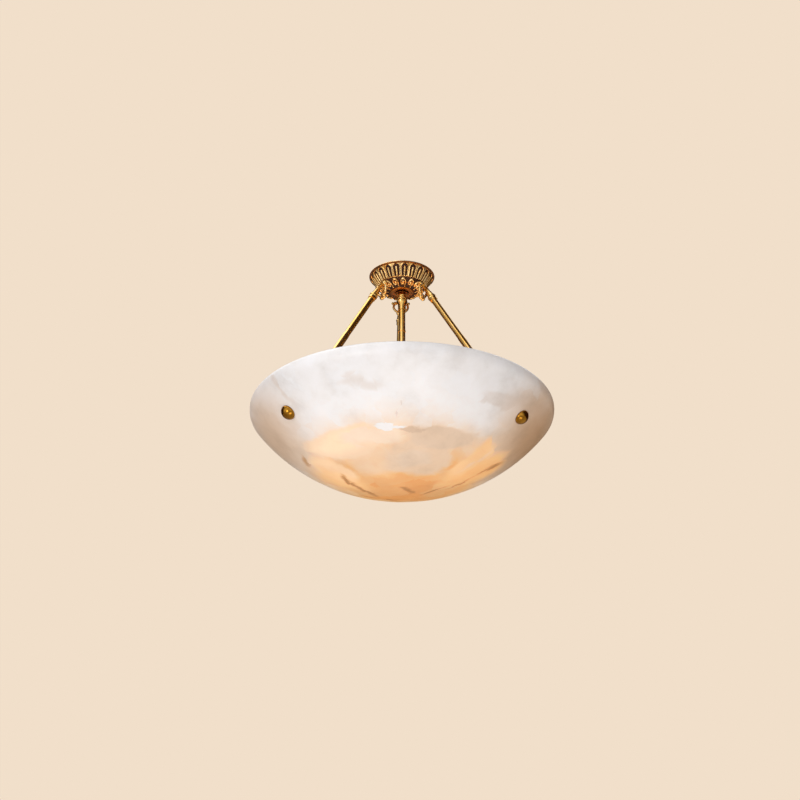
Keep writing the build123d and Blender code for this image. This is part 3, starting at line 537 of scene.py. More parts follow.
# Cast brass with an antique patina: gold on the rubbed edges, brown in the hollows.
CAST_BRASS = BrassFinish(
    name="cast_antique_brass", metal="#F7D698", shade_metal="#E6B466", bloom="#95581F", patina="#3A1C0A",
    roughness=0.3, cloud_mm=16, grain_mm=3.0, grain_depth_mm=0.02)
# Turned brass that has darkened where nobody rubs it: red-brown, on the cup under the canopy.
DARK_BRASS = BrassFinish(
    name="darkened_turned_brass", metal="#A86E34", shade_metal="#8A5526", bloom="#6E3F1A", patina="#3A1C0A",
    roughness=0.34, cloud_mm=14, grain_mm=2.5, grain_depth_mm=0.02)
# Domed nuts, polished by hand: deep gold with a small bright highlight.
POLISHED_BRASS = BrassFinish(
    name="hand_polished_brass", metal="#B9842F", shade_metal="#8F601C", bloom="#6E4412", patina="#3A200A",
    roughness=0.18, cloud_mm=12, grain_mm=2.0, grain_depth_mm=0.01)
# Bright zinc plating on pressed steel: cool grey and faintly cloudy.
ZINC_STEEL = SpeckledFinish(
    name="zinc_plated_steel", light="#B9B8B2", dark="#9C9B97", roughness=0.38, metallic=1.0,
    cloud_mm=6, grain_mm=0.5, grain_depth_mm=0.02)
# Moulded rubber of the washers: dull and nearly black.
RUBBER = SpeckledFinish(
    name="moulded_black_rubber", light="#2A2725", dark="#1E1C1A", roughness=0.75, metallic=0.0,
    cloud_mm=5, grain_mm=0.6, grain_depth_mm=0.03)
# Moulded nylon of the terminal block: off-white with a soft sheen.
TERMINAL_NYLON = SpeckledFinish(
    name="terminal_nylon", light="#E6E3DA", dark="#DBD7CC", roughness=0.5, metallic=0.0,
    cloud_mm=9, grain_mm=0.8, grain_depth_mm=0.02)
# Fired, unglazed steatite of the lampholders' cores: dull cream.
STEATITE = SpeckledFinish(
    name="steatite_ceramic", light="#ECE8DE", dark="#DDD7CA", roughness=0.55, metallic=0.0,
    cloud_mm=7, grain_mm=0.5, grain_depth_mm=0.03, ior=1.6)
# Drawn aluminium of the bulbs' caps: pale and bright.
DRAWN_ALUMINIUM = SpeckledFinish(
    name="drawn_aluminium", light="#D2D1CE", dark="#BDBCBA", roughness=0.3, metallic=1.0,
    cloud_mm=8, grain_mm=0.7, grain_depth_mm=0.02)
# Opal glass of the bulbs: milky white, lit warm from inside.
OPAL_GLASS = OpalGlassFinish()
# Matt paint of the studio floor: pale, with faint wide clouds.
PAINTED_FLOOR = SpeckledFinish(
    name="pale_painted_floor", light="#F5F1EA", dark="#F0EBE2", roughness=0.8, metallic=0.0,
    cloud_mm=400, grain_mm=20, grain_depth_mm=0.1)


def new_piece(
    name: str,
    mesh: bmesh.types.BMesh,
    finish: Finish,
    body: str,
    replaced: Sequence[str],
) -> bpy.types.Object:
    """Make a piece from a bmesh, dress it, tie it to its body and hide the nodes that it stands for.

    Args:
        name: piece name.
        mesh: its shape, in metres; it is freed here.
        finish: its surface.
        body: the body that it rides on.
        replaced: nodes that it stands for.
    Returns:
        The new object.
    """
    data = bpy.data.meshes.new(name)
    mesh.to_mesh(data)
    mesh.free()
    data.shade_smooth()
    piece = bpy.data.objects.new(name, data)
    bpy.context.scene.collection.objects.link(piece)
    finish.dress(piece)
    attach(piece, body)
    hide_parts(*replaced)
    log.info("%s: %d faces, for %s", name, len(data.polygons), ", ".join(replaced))
    return piece


def close_up(mesh: bmesh.types.BMesh, gap_mm: float = 0.005) -> None:
    """Merge doubles and turn the faces outwards.

    Args:
        mesh: the shape.
        gap_mm: distance under which two points are one.
    """
    bmesh.ops.remove_doubles(mesh, verts=mesh.verts, dist=gap_mm * MM)
    bmesh.ops.recalc_face_normals(mesh, faces=mesh.faces)


def add_turning(mesh: bmesh.types.BMesh, outline: Sequence[tuple[float, float]], steps: int,
                first: float) -> None:
    """Spin an outline round the Z axis.

    Args:
        mesh: the shape to add to.
        outline: radius and height of each point, in mm.
        steps: faces round the circle.
        first: angle at which the first face starts.
    """
    turn = math.radians(first)
    points = [mesh.verts.new((radius * MM * math.cos(turn), radius * MM * math.sin(turn), height * MM))
              for radius, height in outline]
    edges = [mesh.edges.new(pair) for pair in zip(points, points[1:])]
    bmesh.ops.spin(mesh, geom=points + edges, cent=(0, 0, 0), axis=(0, 0, 1), dvec=(0, 0, 0),
                   angle=math.tau, steps=steps, use_merge=True, use_duplicate=False)


def smooth_step(value: float, start: float, end: float) -> float:
    """Run smoothly from 0 at start to 1 at end.

    Args:
        value: where to read.
        start: where the run starts.
        end: where it ends.
    Returns:
        The share at value.
    """
    share = min(max((value - start) / (end - start), 0.0), 1.0)
    return share * share * (3 - 2 * share)


def add_relief_ring(
    mesh: bmesh.types.BMesh,
    upper: tuple[float, float],
    lower: tuple[float, float],
    count: int,
    across: int,
    along: int,
    relief: Callable[[float, float], tuple[float, float]],
    first: float = FRONT_ANGLE,
) -> None:
    """Add a conical belt of equal fields, each carrying the same relief.

    Args:
        mesh: the shape to add to.
        upper: radius and height of the belt's upper edge, in mm.
        lower: the same for its lower edge.
        count: number of fields round the belt.
        across: faces across a field.
        along: faces from the upper to the lower edge.
        relief: height in mm and share of hollow at a place in the field, given as the distance
            across in mm from the field's middle and the distance down the slope in mm.
        first: angle at which the first field faces.
    """
    hollow = mesh.verts.layers.float.get(HOLLOW) or mesh.verts.layers.float.new(HOLLOW)
    before = set(mesh.verts)
    bmesh.ops.create_grid(mesh, x_segments=across, y_segments=along, size=0.5)
    field = [v for v in mesh.verts if v not in before]
    fall = Vector((lower[0] - upper[0], lower[1] - upper[1]))
    outward = Vector((-fall.y, fall.x)).normalized()
    pitch = math.tau / count
    for point in field:
        turn, down = point.co.x * pitch, 0.5 - point.co.y
        spot = Vector(upper) + fall * down
        height, point[hollow] = relief(turn * spot.x, down * fall.length)
        spot = spot + outward * height
        angle = math.radians(first) + turn
        point.co = Vector((spot.x * math.cos(angle), spot.x * math.sin(angle), spot.y)) * MM
    geometry = field + [e for e in mesh.edges if e.verts[0] in set(field)] + [
        f for f in mesh.faces if f.verts[0] in set(field)]
    bmesh.ops.spin(mesh, geom=geometry, cent=(0, 0, 0), axis=(0, 0, 1), dvec=(0, 0, 0),
                   angle=math.tau * (count - 1) / count, steps=count - 1, use_merge=False, use_duplicate=True)


def mark_hollows(mesh: bmesh.types.BMesh, rounds: int, depth_mm: float) -> None:
    """Write how deep each point lies in a hollow, by smoothing a copy of the shape.

    Args:
        mesh: the shape.
        rounds: rounds of smoothing, more for wider hollows.
        depth_mm: depth that counts as a whole hollow.
    """
    hollow = mesh.verts.layers.float.new(HOLLOW)
    smooth = mesh.copy()
    for _ in range(rounds):
        bmesh.ops.smooth_vert(smooth, verts=smooth.verts, factor=0.5, use_axis_x=True, use_axis_y=True,
                              use_axis_z=True)
    mesh.normal_update()
    for point, flat in zip(mesh.verts, smooth.verts):
        point[hollow] = min(max((flat.co - point.co).dot(point.normal) / (depth_mm * MM), 0.0), 1.0)
    smooth.free()


@dataclass
class Canopy:
    """Cast canopy: rim moulding, belt of arched niches, seat for the rosettes and bottom boss."""

    radius: float = 56.0
    rim_height: float = 3.0
    rim_flatness: float = 0.9       # height of the rim's bow against a half circle
    rim_step: float = 2.6           # rim's edge to the top of the belt
    belt_bottom_radius: float = 40.4
    belt_bottom: float = -21.8
    depth: float = 33.5
    boss_radius: float = 20.5
    boss_height: float = 2.2
    wall: float = 3.0
    bore: float = 5.2
    niche_count: int = 21
    niche_turn: float = 3.0         # turn of the first niche from the front
    niche_gap: float = 0.9          # top of the belt to the top of a niche
    niche_end: float = 22.6         # top of the belt to the foot of a niche
    niche_head: float = 5.8         # half width at the head
    niche_foot: float = 4.35
    niche_depth: float = 1.7
    moulding: float = 0.7           # round moulding that edges a niche
    tongue_head: float = 2.0        # half width of the tongue inside
    tongue_foot: float = 1.5
    tongue_height: float = 0.8
    tongue_rise: float = 1.6        # top of the tongue above the middle of the niche's head
    panel_bloom: float = 0.25       # share of hollow between the niches
    boss_bloom: float = 0.62        # the same on the boss and its seat
    rim_bloom: float = 0.7          # the same on the rim
    field_faces: tuple[int, int] = (28, 34)     # faces across and down a field

    def niche(self, across: float, down: float) -> tuple[float, float]:
        """Shape one field: a round-headed niche with a moulded edge and a tapering tongue.

        Args:
            across: distance from the field's middle, in mm.
            down: distance down the belt, in mm.
        Returns:
            Height in mm and share of hollow.
        """
        head_place = self.niche_gap + self.niche_head
        share = min(max((down - head_place) / (self.niche_end - head_place), 0), 1)
        half = self.niche_head + (self.niche_foot - self.niche_head) * share
        inside = half - abs(across) if down > head_place else half - math.hypot(across, down - head_place)
        sunk = smooth_step(inside, 0.1, 1.0)
        edge = math.exp(-((inside + 0.3) / 0.75) ** 2)
        width = self.tongue_head + (self.tongue_foot - self.tongue_head) * share
        tongue_top = head_place - self.tongue_rise
        middle = width - abs(across) if down > tongue_top + width else (
            width - math.hypot(across, down - tongue_top - width))
        tongue = smooth_step(middle, -0.5, 0.9)
        ends = smooth_step(down, 0.0, 0.5) * smooth_step(self.niche_end - down, 0.0, 0.5)
        relief = self.tongue_height * tongue - self.niche_depth * (1 - tongue)
        height = ends * (self.moulding * edge + sunk * relief)
        panel = self.panel_bloom * (1 - smooth_step(inside, -1.3, -0.5))
        return height, max(ends * sunk * (1 - tongue), panel)

    def build(self) -> bpy.types.Object:
        """Make the canopy in one piece.

        Returns:
            The canopy.
        """
        across, along = self.field_faces
        belt_top = self.radius - self.rim_step
        boss_top = -self.depth + self.boss_height
        first = FRONT_ANGLE + self.niche_turn
        mesh = bmesh.new()
        add_relief_ring(mesh, (belt_top, -self.rim_height), (self.belt_bottom_radius, self.belt_bottom),
                        self.niche_count, across, along, self.niche, first)
        half = self.rim_height / 2
        bow = [math.radians(angle) for angle in range(-90, 61, 15)]
        rim = [(self.radius - half + half * math.cos(a), -half + half * math.sin(a) * self.rim_flatness) for a in bow]
        slope = Vector((self.boss_radius - self.belt_bottom_radius, boss_top - self.belt_bottom))
        inward = Vector((slope.y, -slope.x)).normalized() * self.wall
        upper_wall = Vector((self.belt_bottom_radius, self.belt_bottom)) + inward
        lower_wall = Vector((self.boss_radius, boss_top)) + inward
        outline = [
            (belt_top, -self.rim_height), (belt_top + 0.5, -self.rim_height + 0.1), *rim,
            (self.radius - half, 0), (self.radius - self.wall, 0), (belt_top - self.wall, -self.rim_height),
            (upper_wall.x, upper_wall.y), (lower_wall.x, lower_wall.y), (self.bore, lower_wall.y),
            (self.bore, -self.depth), (self.boss_radius - 0.6, -self.depth),
            (self.boss_radius, -self.depth + 0.6), (self.boss_radius, boss_top),
            (self.belt_bottom_radius - 1.2, self.belt_bottom), (self.belt_bottom_radius, self.belt_bottom),
        ]
        add_turning(mesh, outline, self.niche_count * across, first - 180 / self.niche_count)
        close_up(mesh)
        hollow = mesh.verts.layers.float.get(HOLLOW)
        below_belt = (self.belt_bottom - 6) * MM
        rim_inside, rim_middle = (belt_top - 0.1) * MM, -0.6 * self.rim_height * MM
        for point in mesh.verts:
            if point.co.z < below_belt:
                point[hollow] = self.boss_bloom
            elif math.hypot(point.co.x, point.co.y) > rim_inside and point.co.z < rim_middle:
                point[hollow] = self.rim_bloom
        return new_piece("canopy_casting", mesh, CAST_BRASS, FIXTURE, ["canopy"])


@dataclass
class RosetteBand:
    """Ring on the canopy's lower slope with a row of curled rosettes."""

    upper: tuple[float, float] = (40.4, -22.6)
    lower: tuple[float, float] = (21.3, -32.4)
    count: int = 15
    centre_down: float = 10.4       # upper edge of the band to a rosette's middle
    curl: float = 5.2               # radius of the curl's ridge at its start
    stretch: float = 1.65           # its length down the slope against its width
    curl_start: float = 50.0        # degrees before the level at which it starts
    curl_end: float = 9.6           # radians along it at which it ends
    curl_pitch: float = 0.5         # mm that it closes in per radian
    ridge: float = 1.45             # half width of the ridge
    height: float = 2.6
    tail_height: float = 1.5
    edge_height: float = 0.35       # fine moulding along both edges of the band
    edge_places: tuple[float, float] = (0.8, 20.6)
    field_faces: tuple[int, int] = (44, 44)     # faces across and down a field

    def rosette(self, across: float, down: float) -> tuple[float, float]:
        """Shape one field: a leaf that curls in on itself to a bead.

        Args:
            across: distance from the field's middle, in mm.
            down: distance down the band, in mm.
        Returns:
            Height in mm and share of hollow.
        """
        x, y = across, (self.centre_down - down) / self.stretch
        reach, angle = math.hypot(x, y), math.atan2(y, x)
        curl = 0.0
        for turns in (0, 1):
            along = (angle + math.radians(self.curl_start)) % math.tau + math.tau * turns
            if along > self.curl_end:
                continue
            middle = self.curl - self.curl_pitch * along
            width = self.ridge * (1 - 0.05 * along)
            rise = math.exp(-((reach - middle) / width) ** 2)
            ends = smooth_step(along, 0.0, 0.5) * (1 - smooth_step(along, self.curl_end - 0.7, self.curl_end))
            curl = max(curl, rise * ends * (1 - 0.03 * along))
        bead = math.exp(-(reach / 1.3) ** 2) * 0.95
        tail = math.exp(-(x - 2.4 + 0.25 * y) ** 2) * smooth_step(-y, 2.0, 3.2) * (1 - smooth_step(-y, 6.0, 7.0))
        edge = self.edge_height * sum(math.exp(-((down - place) / 0.5) ** 2) for place in self.edge_places)
        length = math.dist(self.upper, self.lower)
        radius = self.upper[0] + (self.lower[0] - self.upper[0]) * down / length
        borders = smooth_step(down, 0.0, 0.4) * smooth_step(length - down, 0.0, 0.4)
        sides = smooth_step(radius * math.pi / self.count - abs(across), 0.0, 0.5)
        height = borders * max(sides * max(self.height * max(curl, bead), self.tail_height * tail), edge)
        return height, 0.9 * (1 - smooth_step(height, 0.1, 1.5)) + 0.12

    def build(self) -> bpy.types.Object:
        """Make the band with its rosettes in one piece.

        Returns:
            The band.
        """
        across, along = self.field_faces
        mesh = bmesh.new()
        add_relief_ring(mesh, self.upper, self.lower, self.count, across, along, self.rosette)
        outline = [self.upper, (self.upper[0] - 0.9, self.upper[1] + 0.85),
                   (self.lower[0] - 0.7, self.lower[1] + 1.15), self.lower]
        add_turning(mesh, outline, self.count * across, FRONT_ANGLE - 180 / self.count)
        close_up(mesh)
        return new_piece("rosette_ring", mesh, CAST_BRASS, FIXTURE, ["rosette_band"])


@dataclass
class Hanger:
    """Cast lyre-shaped fork that a rod's eye hangs in, on a post under the canopy."""

    number: int
    angle: float
    arm_offset: float = 9.6
    arm_bulge: float = 2.4
    arm_depth: float = 10.5
    arm_radius: float = 2.1
    knob_radius: float = 3.3
    lobe_offset: float = 3.2
    lobe_drop: float = 21.5
    lobe_radius: float = 4.6
    lobe_flatness: float = 0.8      # its thickness against its width
    bar: tuple[float, float, float] = (7.0, 5.2, 6.0)   # block that joins the lobes
    bar_rise: float = 3.0
    lean: float = 10.0              # degrees that the fork leans
    pin_reach: float = 42.0         # lamp's axis to the pin
    post_inner: float = 34.6
    post_outer: float = 38.0
    post_width: float = 6.4
    post_top: float = 5.2           # above the pin
    voxel: float = 0.42             # fineness of the merged casting

    def seat(self) -> Matrix:
        """Find the pivot pin's axes: X across the fork, Y outwards, Z up.

        Returns:
            The axes as a matrix.
        """
        low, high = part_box(f"pivot_pin_{self.number}")
        turn = math.radians(self.angle)
        return Matrix.Translation((Vector(low) + Vector(high)) / 2) @ Matrix.Rotation(turn - math.pi / 2, 4, "Z")

    def add_arm(self, mesh: bmesh.types.BMesh, side: int) -> None:
        """Sweep one bowed arm from its knob down to its lobe.

        Args:
            mesh: the shape to add to.
            side: -1 or 1, the side that the arm is on.
        """
        start = Vector((self.arm_offset, 0))
        middle = Vector((self.arm_offset + self.arm_bulge, -self.arm_depth))
        end = Vector((self.lobe_offset, -self.lobe_drop + self.arm_radius))
        centre = circle_centre(start, middle, end)
        first = math.atan2(start.y - centre.y, start.x - centre.x)
        last = math.atan2(end.y - centre.y, end.x - centre.x)
        place = Matrix.Translation((start.x * MM, 0, start.y * MM)) @ Matrix.Rotation(-first, 4, "Y")
        ring = bmesh.ops.create_circle(mesh, cap_ends=False, segments=20, radius=self.arm_radius * MM,
                                       matrix=place)["verts"]
        edges = list({e for v in ring for e in v.link_edges})
        known = set(mesh.verts) - set(ring)
        bmesh.ops.spin(mesh, geom=ring + edges, cent=(centre.x * MM, 0, centre.y * MM), axis=(0, -1, 0),
                       dvec=(0, 0, 0), angle=last - first, steps=24, use_merge=False, use_duplicate=False)
        if side < 0:
            bmesh.ops.scale(mesh, vec=(-1, 1, 1), verts=[v for v in mesh.verts if v not in known])

    def build(self) -> bpy.types.Object:
        """Make the hanger as one merged casting.

        Returns:
            The hanger.
        """
        seat = self.seat()
        mesh = bmesh.new()
        for side in (-1, 1):
            self.add_arm(mesh, side)
            bmesh.ops.create_uvsphere(mesh, u_segments=24, v_segments=16, radius=self.knob_radius * MM,
                                      matrix=Matrix.Translation((side * self.arm_offset * MM, 0, 0)))
            lobe = Matrix.Translation((side * self.lobe_offset * MM, 0, -self.lobe_drop * MM))
            bmesh.ops.create_uvsphere(mesh, u_segments=28, v_segments=18, radius=self.lobe_radius * MM,
                                      matrix=lobe @ Matrix.Diagonal((1, self.lobe_flatness, 1, 1)))
        bar = Matrix.Translation((0, 0, (-self.lobe_drop + self.bar_rise) * MM)) @ Matrix.Diagonal((*self.bar, 1))
        bmesh.ops.create_cube(mesh, size=MM, matrix=bar)
        bmesh.ops.rotate(mesh, cent=(0, 0, 0), matrix=Matrix.Rotation(math.radians(-self.lean), 3, "X"),
                         verts=mesh.verts)
        self.add_post(mesh)
        return self.merge(mesh, seat)

    def add_post(self, mesh: bmesh.types.BMesh) -> None:
        """Add the post that runs from the canopy's slope down to the foot of the fork.

        Args:
            mesh: the shape to add to.
        """
        depth = self.post_outer - self.post_inner
        middle = (self.post_outer + self.post_inner) / 2 - self.pin_reach
        top, foot = self.post_top, -self.lobe_drop
        post = Matrix.Translation((0, middle * MM, (top + foot) / 2 * MM)) @ Matrix.Diagonal(
            (self.post_width, depth, top - foot, 1))
        bmesh.ops.create_cube(mesh, size=MM, matrix=post)

    def merge(self, mesh: bmesh.types.BMesh, seat: Matrix) -> bpy.types.Object:
        """Melt the parts of the casting into one skin, and set it in its place.

        Args:
            mesh: the parts of the casting, at the pin.
            seat: the pin's axes.
        Returns:
            The hanger.
        """
        rough = bpy.data.meshes.new("rough_casting")
        mesh.to_mesh(rough)
        mesh.free()
        block = bpy.data.objects.new("rough_casting", rough)
        bpy.context.scene.collection.objects.link(block)
        melt = block.modifiers.new("melt", "REMESH")
        melt.mode = "VOXEL"
        melt.voxel_size = self.voxel * MM
        soften = block.modifiers.new("soften", "SMOOTH")
        soften.factor = 0.5
        soften.iterations = 5
        skin = bmesh.new()
        skin.from_object(block, bpy.context.evaluated_depsgraph_get())
        bpy.data.objects.remove(block)
        bpy.data.meshes.remove(rough)
        mark_hollows(skin, rounds=12, depth_mm=0.5)
        bmesh.ops.transform(skin, matrix=seat, verts=skin.verts)
        return new_piece(f"hanger_casting_{self.number}", skin, CAST_BRASS, FIXTURE,
                         [f"hanger_{self.number}"])


def circle_centre(first: Vector, second: Vector, third: Vector) -> Vector:
    """Find the centre of the circle through three points of a plane.

    Args:
        first: a point.
        second: another point.
        third: the last point.
    Returns:
        The centre.
    """
    a, b = second - first, third - first
    twice = 2 * (a.x * b.y - a.y * b.x)
    return first + Vector((b.y * a.length_squared - a.y * b.length_squared,
                           a.x * b.length_squared - b.x * a.length_squared)) / twice


@dataclass
class StoneBowl:
    """The alabaster bowl, whose marks follow the lamp's own stone."""

    radius: float = 250.0
    depth: float = 141.0
    shoulder: float = 19.0          # radius between the belly and the edge
    edge: float = 10.2              # height of the upright edge
    rim_drop: float = 252.0         # ceiling to rim

    def finish(self) -> AlabasterFinish:
        """Make the stone's finish, with its marks on the sphere of the bowl's belly.

        Returns:
            The finish.
        """
        reach, drop = self.radius - self.shoulder, self.depth - self.edge
        belly = (reach ** 2 + drop ** 2 - self.shoulder ** 2) / (2 * (drop - self.shoulder))
        return AlabasterFinish(self.marks(), belly, -self.rim_drop - self.depth + belly)

    @staticmethod
    def marks() -> tuple[Mark, ...]:
        """List clouds, painted shade, patches of painted light, cells and veins, from the lowest layer to the top
        one.

        Returns:
            The marks.
        """
        return (
            # clouds in the pale upper part
            Mark(252, 217, 48, 14, -16, 0.16, 0.16, 0.06, opacity=0.5, soft=1.4),
            Mark(246, 224, 34, 9, -4, 0.12, 0.20, 0.05, opacity=0.5, soft=1.6),
            Mark(313, 216, 66, 26, 7, 0.16, 0.16, 0.06, opacity=0.55, soft=0.5, outline=Outline.SQUARE),
            Mark(326, 229, 90, 26, 3, 0.14, 0.16, 0.05, opacity=0.7, soft=1.4),
            Mark(214, 239, 60, 10, -68, 0.14, 0.16, 0.05, opacity=0.7, soft=1.2),
            Mark(221, 242, 46, 7, -63, 0.0, 0.28, opacity=0.8, soft=1.2),
            Mark(60, 205, 90, 34, 8, 0.14, 0.18, 0.06, opacity=0.8, soft=1.2),
            Mark(130, 222, 70, 20, -12, 0.16, 0.18, 0.08, opacity=0.8, soft=1.4),
            # painted shade: the stone browner and darker low on both sides, where they turn from the light, warmed by
            # light bounced there
            Mark(180, 206, 200, 130, 0, 0.42, 0.16, 0.08, opacity=0.9, soft=1.6),
            Mark(357, 210, 230, 150, 0, 0.64, 0.09, 0.16, opacity=0.9, soft=1.6),
            # patches of painted light, where the bulbs' light shines through the stone
            Mark(226, 138, 150, 62, -5, 0.42, 0.52, soft=0.3),
            Mark(224, 142, 96, 38, 3, 0.42, 0.64, soft=0.9),
            Mark(189, 112, 84, 58, -86, 0.52, 0.58, soft=0.4),
            Mark(248, 139, 98, 30, -2, 0.32, 0.46, soft=0.5, outline=Outline.SQUARE),
            Mark(350, 116, 120, 66, 92, 0.70, 0.58, soft=0.5),
            Mark(332, 128, 84, 38, 104, 0.64, 0.58, soft=0.4, outline=Outline.SQUARE),
            Mark(335, 131, 60, 9, 100, 0.42, 0.42, opacity=0.6, soft=1.0),
            Mark(90, 128, 150, 70, 5, 0.42, 0.50, soft=0.4),
            Mark(95, 132, 80, 36, 10, 0.46, 0.62, soft=0.9),
            Mark(175, 98, 90, 56, 80, 0.66, 0.62, opacity=0.8, soft=0.9),
            Mark(358, 118, 96, 54, 90, 0.78, 0.64, opacity=0.8, soft=0.9),
            # paler, greyer crystal between them
            Mark(238, 92, 92, 74, -10, 0.42, 0.44, 0.01, opacity=0.8, soft=0.8),
            Mark(284, 94, 96, 80, 8, 0.36, 0.34, 0.03, opacity=0.85, soft=0.4, outline=Outline.SQUARE),
            Mark(277, 91, 44, 36, 27, 0.26, 0.32, 0.03, opacity=0.5, soft=0.7, outline=Outline.SQUARE),
            Mark(293, 139, 116, 46, 4, 0.36, 0.28, 0.04, opacity=0.9, soft=0.35),
            Mark(66, 140, 56, 40, 20, 0.36, 0.34, 0.04, opacity=0.8, soft=0.6),
            Mark(124, 146, 48, 34, -30, 0.38, 0.34, 0.05, opacity=0.8, soft=0.6),
            # pale flake and the crack above it
            Mark(261, 155, 50, 9, -9, 0.0, 0.36, opacity=0.9, soft=0.3, outline=Outline.RAGGED),
            Mark(273, 148, 34, 8, -4, 0.40, 0.22, 0.12, opacity=0.8, soft=0.6, outline=Outline.RAGGED),
            Mark(265, 179, 22, 2.4, -80, 0.2, 0.16, 0.10, opacity=0.5, soft=0.8, outline=Outline.RAGGED),
            # brown veins round the bottom
            Mark(182, 156, 26, 9, 29, 0.8, 0.2, 0.40, opacity=0.7, soft=1.4, outline=Outline.RAGGED),
            Mark(180, 87, 34, 9, 35, 0.9, 0.25, 0.36, opacity=0.8, soft=1.7, outline=Outline.RAGGED),
            Mark(158, 69, 60, 8, 21, 0.9, 0.25, 0.34, opacity=0.8, soft=1.7, outline=Outline.RAGGED),
            Mark(117, 77, 54, 7, 32, 0.9, 0.2, 0.40, opacity=0.8, soft=1.4, outline=Outline.RAGGED),
            Mark(40, 13, 26, 9, 77, 0.9, 0.3, 0.40, opacity=0.8, soft=1.6, outline=Outline.RAGGED),
            Mark(24, 58, 46, 6, -35, 0.9, 0.2, 0.34, opacity=0.7, soft=1.6, outline=Outline.RAGGED),
            Mark(9, 94, 44, 5, -52, 0.9, 0.2, 0.30, opacity=0.6, soft=1.6, outline=Outline.RAGGED),
            Mark(357, 134, 34, 5, -78, 0.9, 0.2, 0.30, opacity=0.6, soft=1.6, outline=Outline.RAGGED),
            Mark(355, 148, 26, 11, 71, 0.9, 0.2, 0.35, opacity=0.7, soft=1.6, outline=Outline.RAGGED),
        )


@dataclass(frozen=True)
class Softbox:
    """A soft light that faces the lamp."""

    name: str
    place: tuple[float, float, float]   # its middle, in metres
    size: tuple[float, float]           # width and height, in metres
    power: float                        # watts
    colour: str = "#FFFFFF"


# A key, a low and a high fill in front, and two weaker lights behind for the other sides.
SOFTBOXES = (
    Softbox("key", (-1.5, -2.2, -1.2), (0.9, 0.9), 14),
    Softbox("low", (0.3, -1.4, -2.2), (1.2, 0.9), 8, "#FFF8F0"),
    Softbox("high", (-0.75, -1.5, 1.0), (0.5, 1.0), 3, "#FFF4E0"),
    Softbox("back_left", (-1.6, 1.9, 2.2), (1.4, 1.4), 9),
    Softbox("back_right", (1.6, 1.9, 2.2), (1.4, 1.4), 9),
)


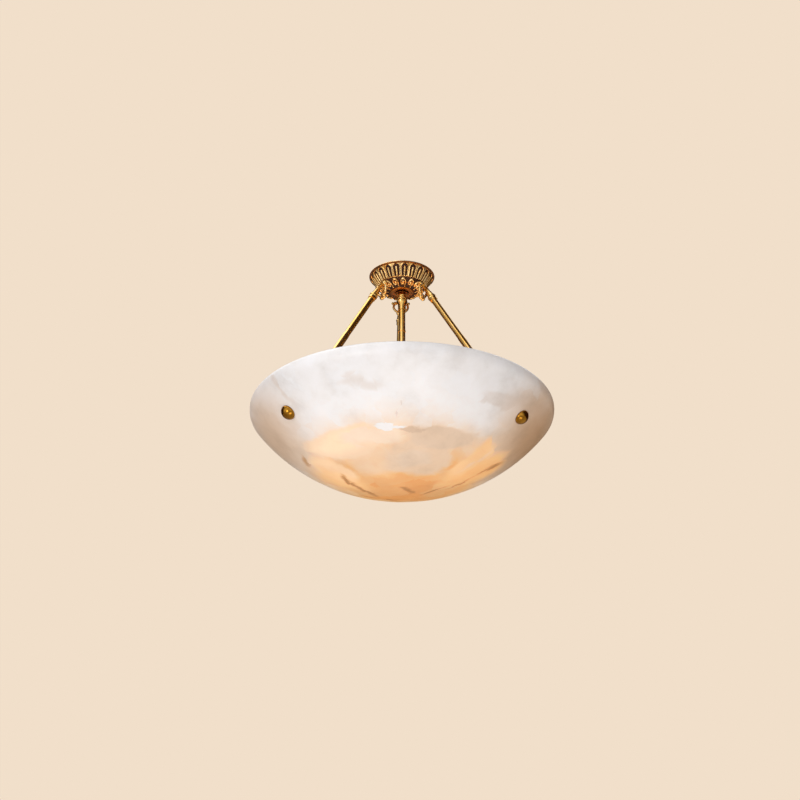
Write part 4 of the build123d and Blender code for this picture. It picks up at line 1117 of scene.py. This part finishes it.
@dataclass
class Studio:
    """Plain floor, soft lights and the camera at the photograph's viewing angle."""

    picture: int = 800              # picture width, in pixels
    focal_pixels: float = 1582.5    # the photograph's focal length in those pixels
    film: float = 36.0
    distance: float = 2366.1        # camera in front of the lamp's axis
    drop: float = 1357.4            # camera below the ceiling
    side: float = -3.25
    lamp_turn: float = 2.75         # turn of the lamp against the camera
    pitch: float = 25.38
    floor_drop: float = 2600.0
    aim: tuple[float, float, float] = (0.0, 0.0, -0.25)     # where the softboxes face, in metres
    overhead_power: float = 1.4
    overhead_spread: float = 50.0   # degrees, so that its shadows are soft
    overhead_fall: tuple[float, float, float] = (0.45, 0.1, -1.0)
    bright_side: tuple[float, float, float] = (-0.34, -0.84, -0.42)     # where the room is brightest
    bright_room: str = "#F8FBFF"
    dark_room: str = "#3A2616"
    room_power: float = 1.2
    backdrop: str = "#F1DFCA"

    def camera(self) -> None:
        """Set up the camera below and in front of the lamp."""
        turn = Matrix.Rotation(math.radians(-self.lamp_turn), 4, "Z")
        data = bpy.data.cameras.new("camera")
        data.sensor_width = self.film
        data.lens = self.film * self.focal_pixels / self.picture
        data.clip_end = 100
        camera = bpy.data.objects.new("camera", data)
        camera.location = turn @ (Vector((self.side, -self.distance, -self.drop)) * MM)
        camera.rotation_euler = (math.radians(90 + self.pitch), 0, math.radians(-self.lamp_turn))
        bpy.context.scene.collection.objects.link(camera)
        bpy.context.scene.camera = camera

    def hang(self, box: Softbox) -> None:
        """Hang a softbox.

        Args:
            box: the softbox.
        """
        data = bpy.data.lights.new(box.name, "AREA")
        data.shape = "RECTANGLE"
        data.size, data.size_y = box.size
        data.energy = box.power
        data.color = linear(box.colour)[:3]
        light = bpy.data.objects.new(box.name, data)
        light.location = box.place
        facing = Vector(self.aim) - Vector(box.place)
        light.rotation_euler = facing.to_track_quat("-Z", "Y").to_euler()
        bpy.context.scene.collection.objects.link(light)

    def overhead(self) -> None:
        """Add broad light from above, that makes the floor pale."""
        data = bpy.data.lights.new("overhead", "SUN")
        data.energy = self.overhead_power
        data.angle = math.radians(self.overhead_spread)
        light = bpy.data.objects.new("overhead", data)
        light.rotation_euler = Vector(self.overhead_fall).to_track_quat("-Z", "Y").to_euler()
        bpy.context.scene.collection.objects.link(light)

    def world(self) -> None:
        """Set a pale background, and for the light a room that is bright to the front left."""
        world = bpy.data.worlds.new("studio")
        world.use_nodes = True
        tree = world.node_tree
        tree.nodes.clear()
        look = add_node(tree, "ShaderNodeTexCoord")
        facing = add_node(tree, "ShaderNodeVectorMath", {"operation": "DOT_PRODUCT"}, {
            0: look.outputs["Generated"], 1: Vector(self.bright_side).normalized()})
        share = add_node(tree, "ShaderNodeMapRange", {"interpolation_type": "SMOOTHSTEP"}, {
            "Value": facing.outputs["Value"], "From Min": 0.08, "From Max": 0.88})
        wall = add_node(tree, "ShaderNodeMix", {"data_type": "RGBA"}, {
            "Factor": share.outputs["Result"], 6: linear(self.dark_room), 7: linear(self.bright_room)})
        seen = add_node(tree, "ShaderNodeBackground", inputs={"Color": linear(self.backdrop), "Strength": 1.0})
        room = add_node(tree, "ShaderNodeBackground", inputs={
            "Color": wall.outputs[2], "Strength": self.room_power})
        path = add_node(tree, "ShaderNodeLightPath")
        mixed = add_node(tree, "ShaderNodeMixShader", inputs={
            0: path.outputs["Is Camera Ray"], 1: room.outputs["Background"], 2: seen.outputs["Background"]})
        add_node(tree, "ShaderNodeOutputWorld", inputs={"Surface": mixed.outputs["Shader"]})
        bpy.context.scene.world = world
        bpy.context.scene.view_settings.view_transform = "Standard"

    def floor(self) -> None:
        """Lay a wide pale floor far under the lamp."""
        mesh = bmesh.new()
        bmesh.ops.create_grid(mesh, x_segments=4, y_segments=4, size=8,
                              matrix=Matrix.Translation((0, 0, -self.floor_drop * MM)))
        data = bpy.data.meshes.new("floor")
        mesh.to_mesh(data)
        mesh.free()
        floor = bpy.data.objects.new("floor", data)
        bpy.context.scene.collection.objects.link(floor)
        PAINTED_FLOOR.dress(floor)

    def build(self) -> None:
        """Set up the whole studio."""
        self.camera()
        for box in SOFTBOXES:
            self.hang(box)
        self.overhead()
        self.world()
        self.floor()


def dress_nodes(stone: AlabasterFinish) -> None:
    """Give every carried-over node its finish.

    Args:
        stone: the bowl's finish.
    """
    finishes: dict[str, Finish] = {
        "bowl": stone, "stem_cup": DARK_BRASS, "stem_bead": TURNED_BRASS, "stem_tube": TURNED_BRASS,
        "lamp_hub": TURNED_BRASS, "hub_finial": TURNED_BRASS, "ceiling_bracket": ZINC_STEEL,
        "nipple": ZINC_STEEL, "nipple_nuts": ZINC_STEEL, "hanger_nuts": ZINC_STEEL, "earth_screw": ZINC_STEEL,
        "terminal_block": TERMINAL_NYLON, "inner_washers": RUBBER, "outer_washers": RUBBER,
    }
    for number in ARMS:
        for part in ("pivot_pin", "rod_end", "rod_tube", "rod_foot", "holder_shell"):
            finishes[f"{part}_{number}"] = TURNED_BRASS
        finishes[f"dome_nut_{number}"] = POLISHED_BRASS
        finishes[f"holder_core_{number}"] = STEATITE
        finishes[f"bulb_cap_{number}"] = DRAWN_ALUMINIUM
        finishes[f"bulb_glass_{number}"] = OPAL_GLASS
    for node, finish in finishes.items():
        finish.dress(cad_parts[node])
        log.info("%s: %s", node, finish.name)


def main() -> None:
    """Dress the lamp, then set up the studio."""
    dress_nodes(StoneBowl().finish())
    Canopy().build()
    RosetteBand().build()
    for number, angle in zip(ARMS, ARM_ANGLES):
        Hanger(number, angle).build()
    Studio().build()
    bpy.context.view_layer.update()


if __name__ == "__main__":
    main()
